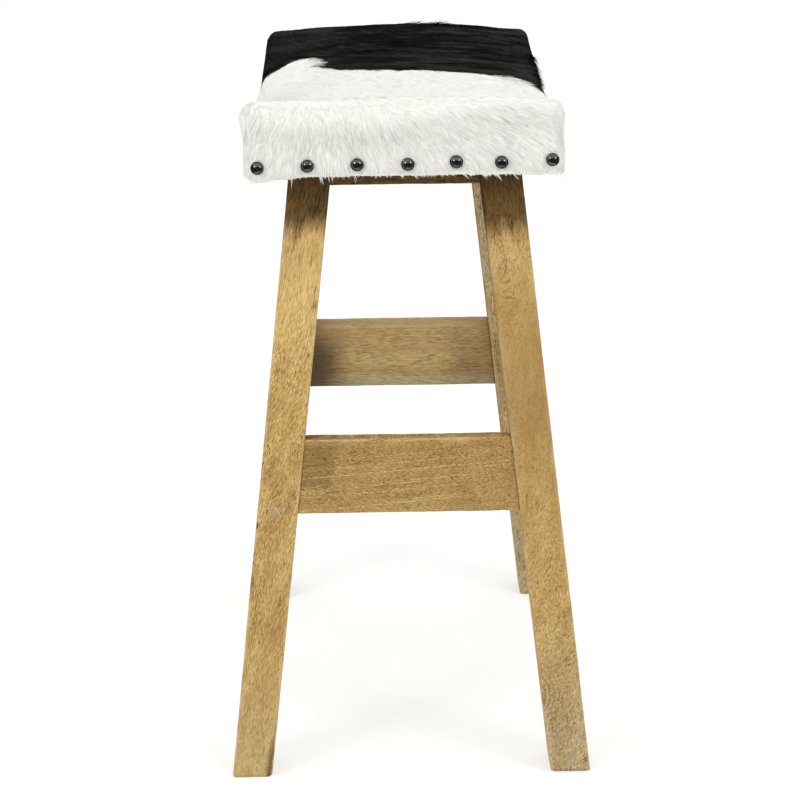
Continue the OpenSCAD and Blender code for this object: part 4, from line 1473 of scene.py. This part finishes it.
def nail_profile():
    """Half outline of a nail head from its middle to under its rim: distance out, and height."""
    dome_r = (NAIL_CROWN_R ** 2 + CROWN_H ** 2) / (2 * CROWN_H)
    reach = math.asin(min(1, NAIL_CROWN_R / dome_r))
    profile = []
    for k in range(1, CROWN_STEPS + 1):
        angle = reach * k / CROWN_STEPS
        profile.append((dome_r * math.sin(angle), NAIL_DOME - dome_r * (1 - math.cos(angle))))
    for k in range(1, RIM_STEPS + 1):
        angle = math.radians(150 - 210 * k / RIM_STEPS)
        out = NAIL_R - RIM_HALF_WIDTH + RIM_HALF_WIDTH * math.cos(angle)
        profile.append((out, RIM_MIDDLE + RIM_HALF_HEIGHT * math.sin(angle)))
    profile.append((NAIL_R - 0.5, -0.9 - COAT_T))
    return profile


def make_nails(node, material):
    """The heads of one row of nails. Their rim attribute is 1 on the brighter rim, worn metal and in part a
    painted reflection of the floor.
    """
    rng = np.random.default_rng(len(node))
    profile = nail_profile()
    reach = np.array(profile)[:, 0]
    rim = smooth(reach, NAIL_R - 1.4, NAIL_CROWN_R) * smooth(reach, NAIL_R - 0.1, NAIL_R - 0.5)
    angles = np.linspace(0, 2 * math.pi, NAIL_COLUMNS, endpoint=False)
    heads = []
    for _, place, out in (row for row in NAILS if row[0] == node):
        z_axis = unit(np.array(out) + rng.normal(0, NAIL_LEAN, 3))
        x_axis = unit(np.cross((0, 0, 1), z_axis))
        y_axis = np.cross(z_axis, x_axis)
        rows = []
        for far, up in profile:
            round_r = far * (1 + NAIL_DENT * np.sin(2 * angles + rng.uniform(0, 6)))
            across, above = (round_r * np.cos(angles))[:, None], (round_r * np.sin(angles))[:, None]
            rows.append(across * x_axis + above * y_axis + up * z_axis)
        heads.append(np.concatenate([*rows, [NAIL_DOME * z_axis]]) + np.array(place))
    size = len(heads[0])
    quads = grid_faces(len(profile), NAIL_COLUMNS, True)
    tris = fan_faces(0, NAIL_COLUMNS, size - 1)
    faces = [np.concatenate([k * size + part for k in range(len(heads))]) for part in (quads, tris)]
    rims = np.tile(np.append(np.repeat(rim, NAIL_COLUMNS), 0.0), len(heads))
    made = mesh_object(node + "_heads", np.concatenate(heads), faces, {"rim": rims})
    return dress(made, "dark_nail_metal", material, node)


def nail_material():
    paint = Paint("dark_nail_metal")
    cloud = paint.noise(paint.scaled(paint.place(), 0.004), 3)
    scratch = paint.noise(paint.scaled(paint.place(), 0.0004, 0.0004, 0.003))
    dome = paint.mix(paint.span(cloud, 0.3, 0.7), rgb(86, 89, 87), rgb(104, 106, 102))
    return paint.finish({
        # Lighter rim: worn metal, and in part a painted reflection of the bright floor
        "Base Color": paint.mix(paint.value("rim"), dome, rgb(142, 139, 128)),
        "Metallic": 1.0,
        "Roughness": paint.span(cloud + scratch, 0.6, 1.4, 0.11, 0.2),
        "Normal": paint.bump(scratch, 0.08, 0.05),
    })


nail_metal = nail_material()
for node in ("front_nails", "rear_nails", "left_nails", "right_nails"):
    make_nails(node, nail_metal)


# Inner pieces that keep their solids

# Plain woods of the inner pieces: light and dark tone, and the size of their pores in metres
PLAIN_WOODS = {
    "frame_wood": (rgb(206, 178, 134), rgb(170, 136, 92), 0.0008),
    "plywood": (rgb(212, 186, 146), rgb(188, 156, 112), 0.0006),
    "dowel_wood": (rgb(216, 188, 146), rgb(190, 156, 112), 0.0005),
}


def plain_wood(name, light, dark, pore_size):
    paint = Paint(name)
    long = paint.noise(paint.scaled(paint.place(), 0.05, 0.004, 0.004), 3)
    fine = paint.noise(paint.scaled(paint.place(), pore_size * 12, pore_size, pore_size))
    colour = paint.mix(paint.span(long, 0.3, 0.7), light, dark)
    colour = paint.mix(paint.span(fine, 0.55, 0.75, 0, 0.4), colour, dark)
    return paint.finish({"Base Color": colour, "Roughness": 0.7, "Normal": paint.bump(fine, 0.3, 0.3)})


def cloth_material():
    """Black spun-bonded cloth with its pressed dots."""
    paint = Paint("dust_cloth")
    place = paint.scaled(paint.place(), 0.0012)
    cells = paint.signal("Distance", "TexVoronoi", {"Vector": place, "Scale": 1.0})
    fluff = paint.noise(paint.scaled(paint.place(), 0.0006), 3)
    return paint.finish({
        "Base Color": paint.mix(fluff, rgb(20, 20, 21), rgb(46, 46, 48)),
        "Roughness": 0.9,
        "Normal": paint.bump(paint.span(cells, 0.2, 0.5) + fluff, 0.5, 0.2),
    })


def steel_material():
    paint = Paint("screw_steel")
    cloud = paint.noise(paint.scaled(paint.place(), 0.003), 3)
    return paint.finish({
        "Base Color": paint.mix(cloud, rgb(150, 148, 138), rgb(190, 186, 170)),
        "Metallic": 1.0,
        "Roughness": paint.span(cloud, 0.3, 0.7, 0.3, 0.5),
    })


slot_looks = {name: plain_wood(name, *look) for name, look in PLAIN_WOODS.items()}
slot_looks["dust_cloth"] = cloth_material()
slot_looks["screw_steel"] = steel_material()
for part in frame["record"]["subparts"]:
    if part["material_slot"] in slot_looks:
        cad = frame["nodes"][part["node"]]
        cad.data.materials.clear()
        cad.data.materials.append(slot_looks[part["material_slot"]])


# Floor, light and camera

# Half width of the floor, and the dark room's inner and outer radius and height, in metres
FLOOR_HALF = 12.0
ROOM_INNER = 0.6
ROOM_OUTER = 3.2
ROOM_LOW = 0.003
ROOM_HIGH = 2.6
ROOM_COLUMNS = 48
# How brightly the floor glows where it is seen, and how bright the world is where it only lights
FLOOR_GLOW = 0.57
WORLD_LIGHT = 0.93
# Soft boxes: place and target in metres, both sides, and power in watts
SOFTBOXES = {
    "left_softbox": ((-2.0, -1.5, 1.9), (0, 0, 0.5), 0.8, 20.5),
    "right_softbox": ((2.1, -1.4, 1.9), (0, 0, 0.5), 0.8, 19.5),
    "top_softbox": ((0, 0.5, 3.0), (0, 0, 0.7), 2.4, 5),
}


def floor_material():
    """White ground, which glows only where the camera, a mirror or a clear thing sees it."""
    paint = Paint("floor")
    seen = paint.seen("Camera", "Glossy", "Transmission")
    return paint.finish({
        "Base Color": paint.mix(seen, rgb(214, 214, 212), rgb(180, 180, 178)),
        "Roughness": 1.0,
        "Specular IOR Level": 0.0,
        "Emission Color": (1, 1, 1, 1),
        "Emission Strength": seen * FLOOR_GLOW,
    })


def make_floor():
    corner_signs = np.array([(-1, -1, 0), (1, -1, 0), (1, 1, 0), (-1, 1, 0)])
    floor = mesh_object("floor", corner_signs * FLOOR_HALF / MM, [np.array([[0, 1, 2, 3]])])
    floor.data.materials.append(floor_material())


def make_dark_room():
    """A dark room round the lit floor, which only shiny things show."""
    turn = np.linspace(0, 2 * math.pi, ROOM_COLUMNS, endpoint=False)
    rings = []
    for far, z in ((ROOM_INNER, ROOM_LOW), (ROOM_OUTER, ROOM_LOW), (ROOM_OUTER, ROOM_HIGH)):
        rings.append(np.stack([far * np.cos(turn), far * np.sin(turn), np.full(ROOM_COLUMNS, z)], 1))
    room = mesh_object("dark_room", np.concatenate(rings) / MM, [grid_faces(len(rings), ROOM_COLUMNS)])
    room.data.materials.append(Paint("dark_room").finish({"Base Color": rgb(84, 86, 86), "Roughness": 1.0}))
    for kind in ("camera", "diffuse", "transmission", "volume_scatter", "shadow"):
        setattr(room, "visible_" + kind, False)


def make_world():
    """White all round, a little dimmer as light than it is where the camera sees it."""
    paint = Paint("studio", "worlds")
    strength = paint.span(paint.seen("Camera", "Transmission"), 0.0, 1.0, WORLD_LIGHT, 1.0)
    white = paint.signal(0, "Background", {"Color": (1, 1, 1, 1), "Strength": strength})
    paint.node("OutputWorld", {"Surface": white})
    bpy.context.scene.world = paint.owner


def soft_light(name, place, target, size, power):
    lamp = bpy.data.lights.new(name, "AREA")
    lamp.shape = "SQUARE"
    lamp.size = size
    lamp.energy = power
    holder = bpy.data.objects.new(name, lamp)
    bpy.context.scene.collection.objects.link(holder)
    holder.location = place
    holder.rotation_mode = "QUATERNION"
    holder.rotation_quaternion = (Vector(target) - Vector(place)).to_track_quat("-Z", "Y")


def make_camera():
    lens = bpy.data.cameras.new("camera")
    lens.sensor_width = CAMERA_SENSOR
    lens.lens = CAMERA_LENS
    lens.shift_y = CAMERA_SHIFT
    lens.clip_start, lens.clip_end = 0.05, 50
    camera = bpy.data.objects.new("camera", lens)
    bpy.context.scene.collection.objects.link(camera)
    yaw, down, roll = (math.radians(v) for v in (CAMERA_RIGHT, CAMERA_DOWN, CAMERA_ROLL))
    ahead = Vector((math.sin(yaw) * math.cos(down), math.cos(yaw) * math.cos(down), -math.sin(down)))
    level = Vector((math.cos(yaw), -math.sin(yaw), 0))
    above = level.cross(ahead)
    right = math.cos(roll) * level + math.sin(roll) * above
    up = -math.sin(roll) * level + math.cos(roll) * above
    turn = Matrix((right, up, -ahead)).transposed().to_4x4()
    camera.matrix_world = Matrix.Translation(Vector(CAMERA_PLACE) * MM) @ turn
    bpy.context.scene.camera = camera


make_floor()
make_dark_room()
make_world()
for name, light in SOFTBOXES.items():
    soft_light(name, *light)
make_camera()
bpy.context.scene.view_settings.view_transform = "Standard"
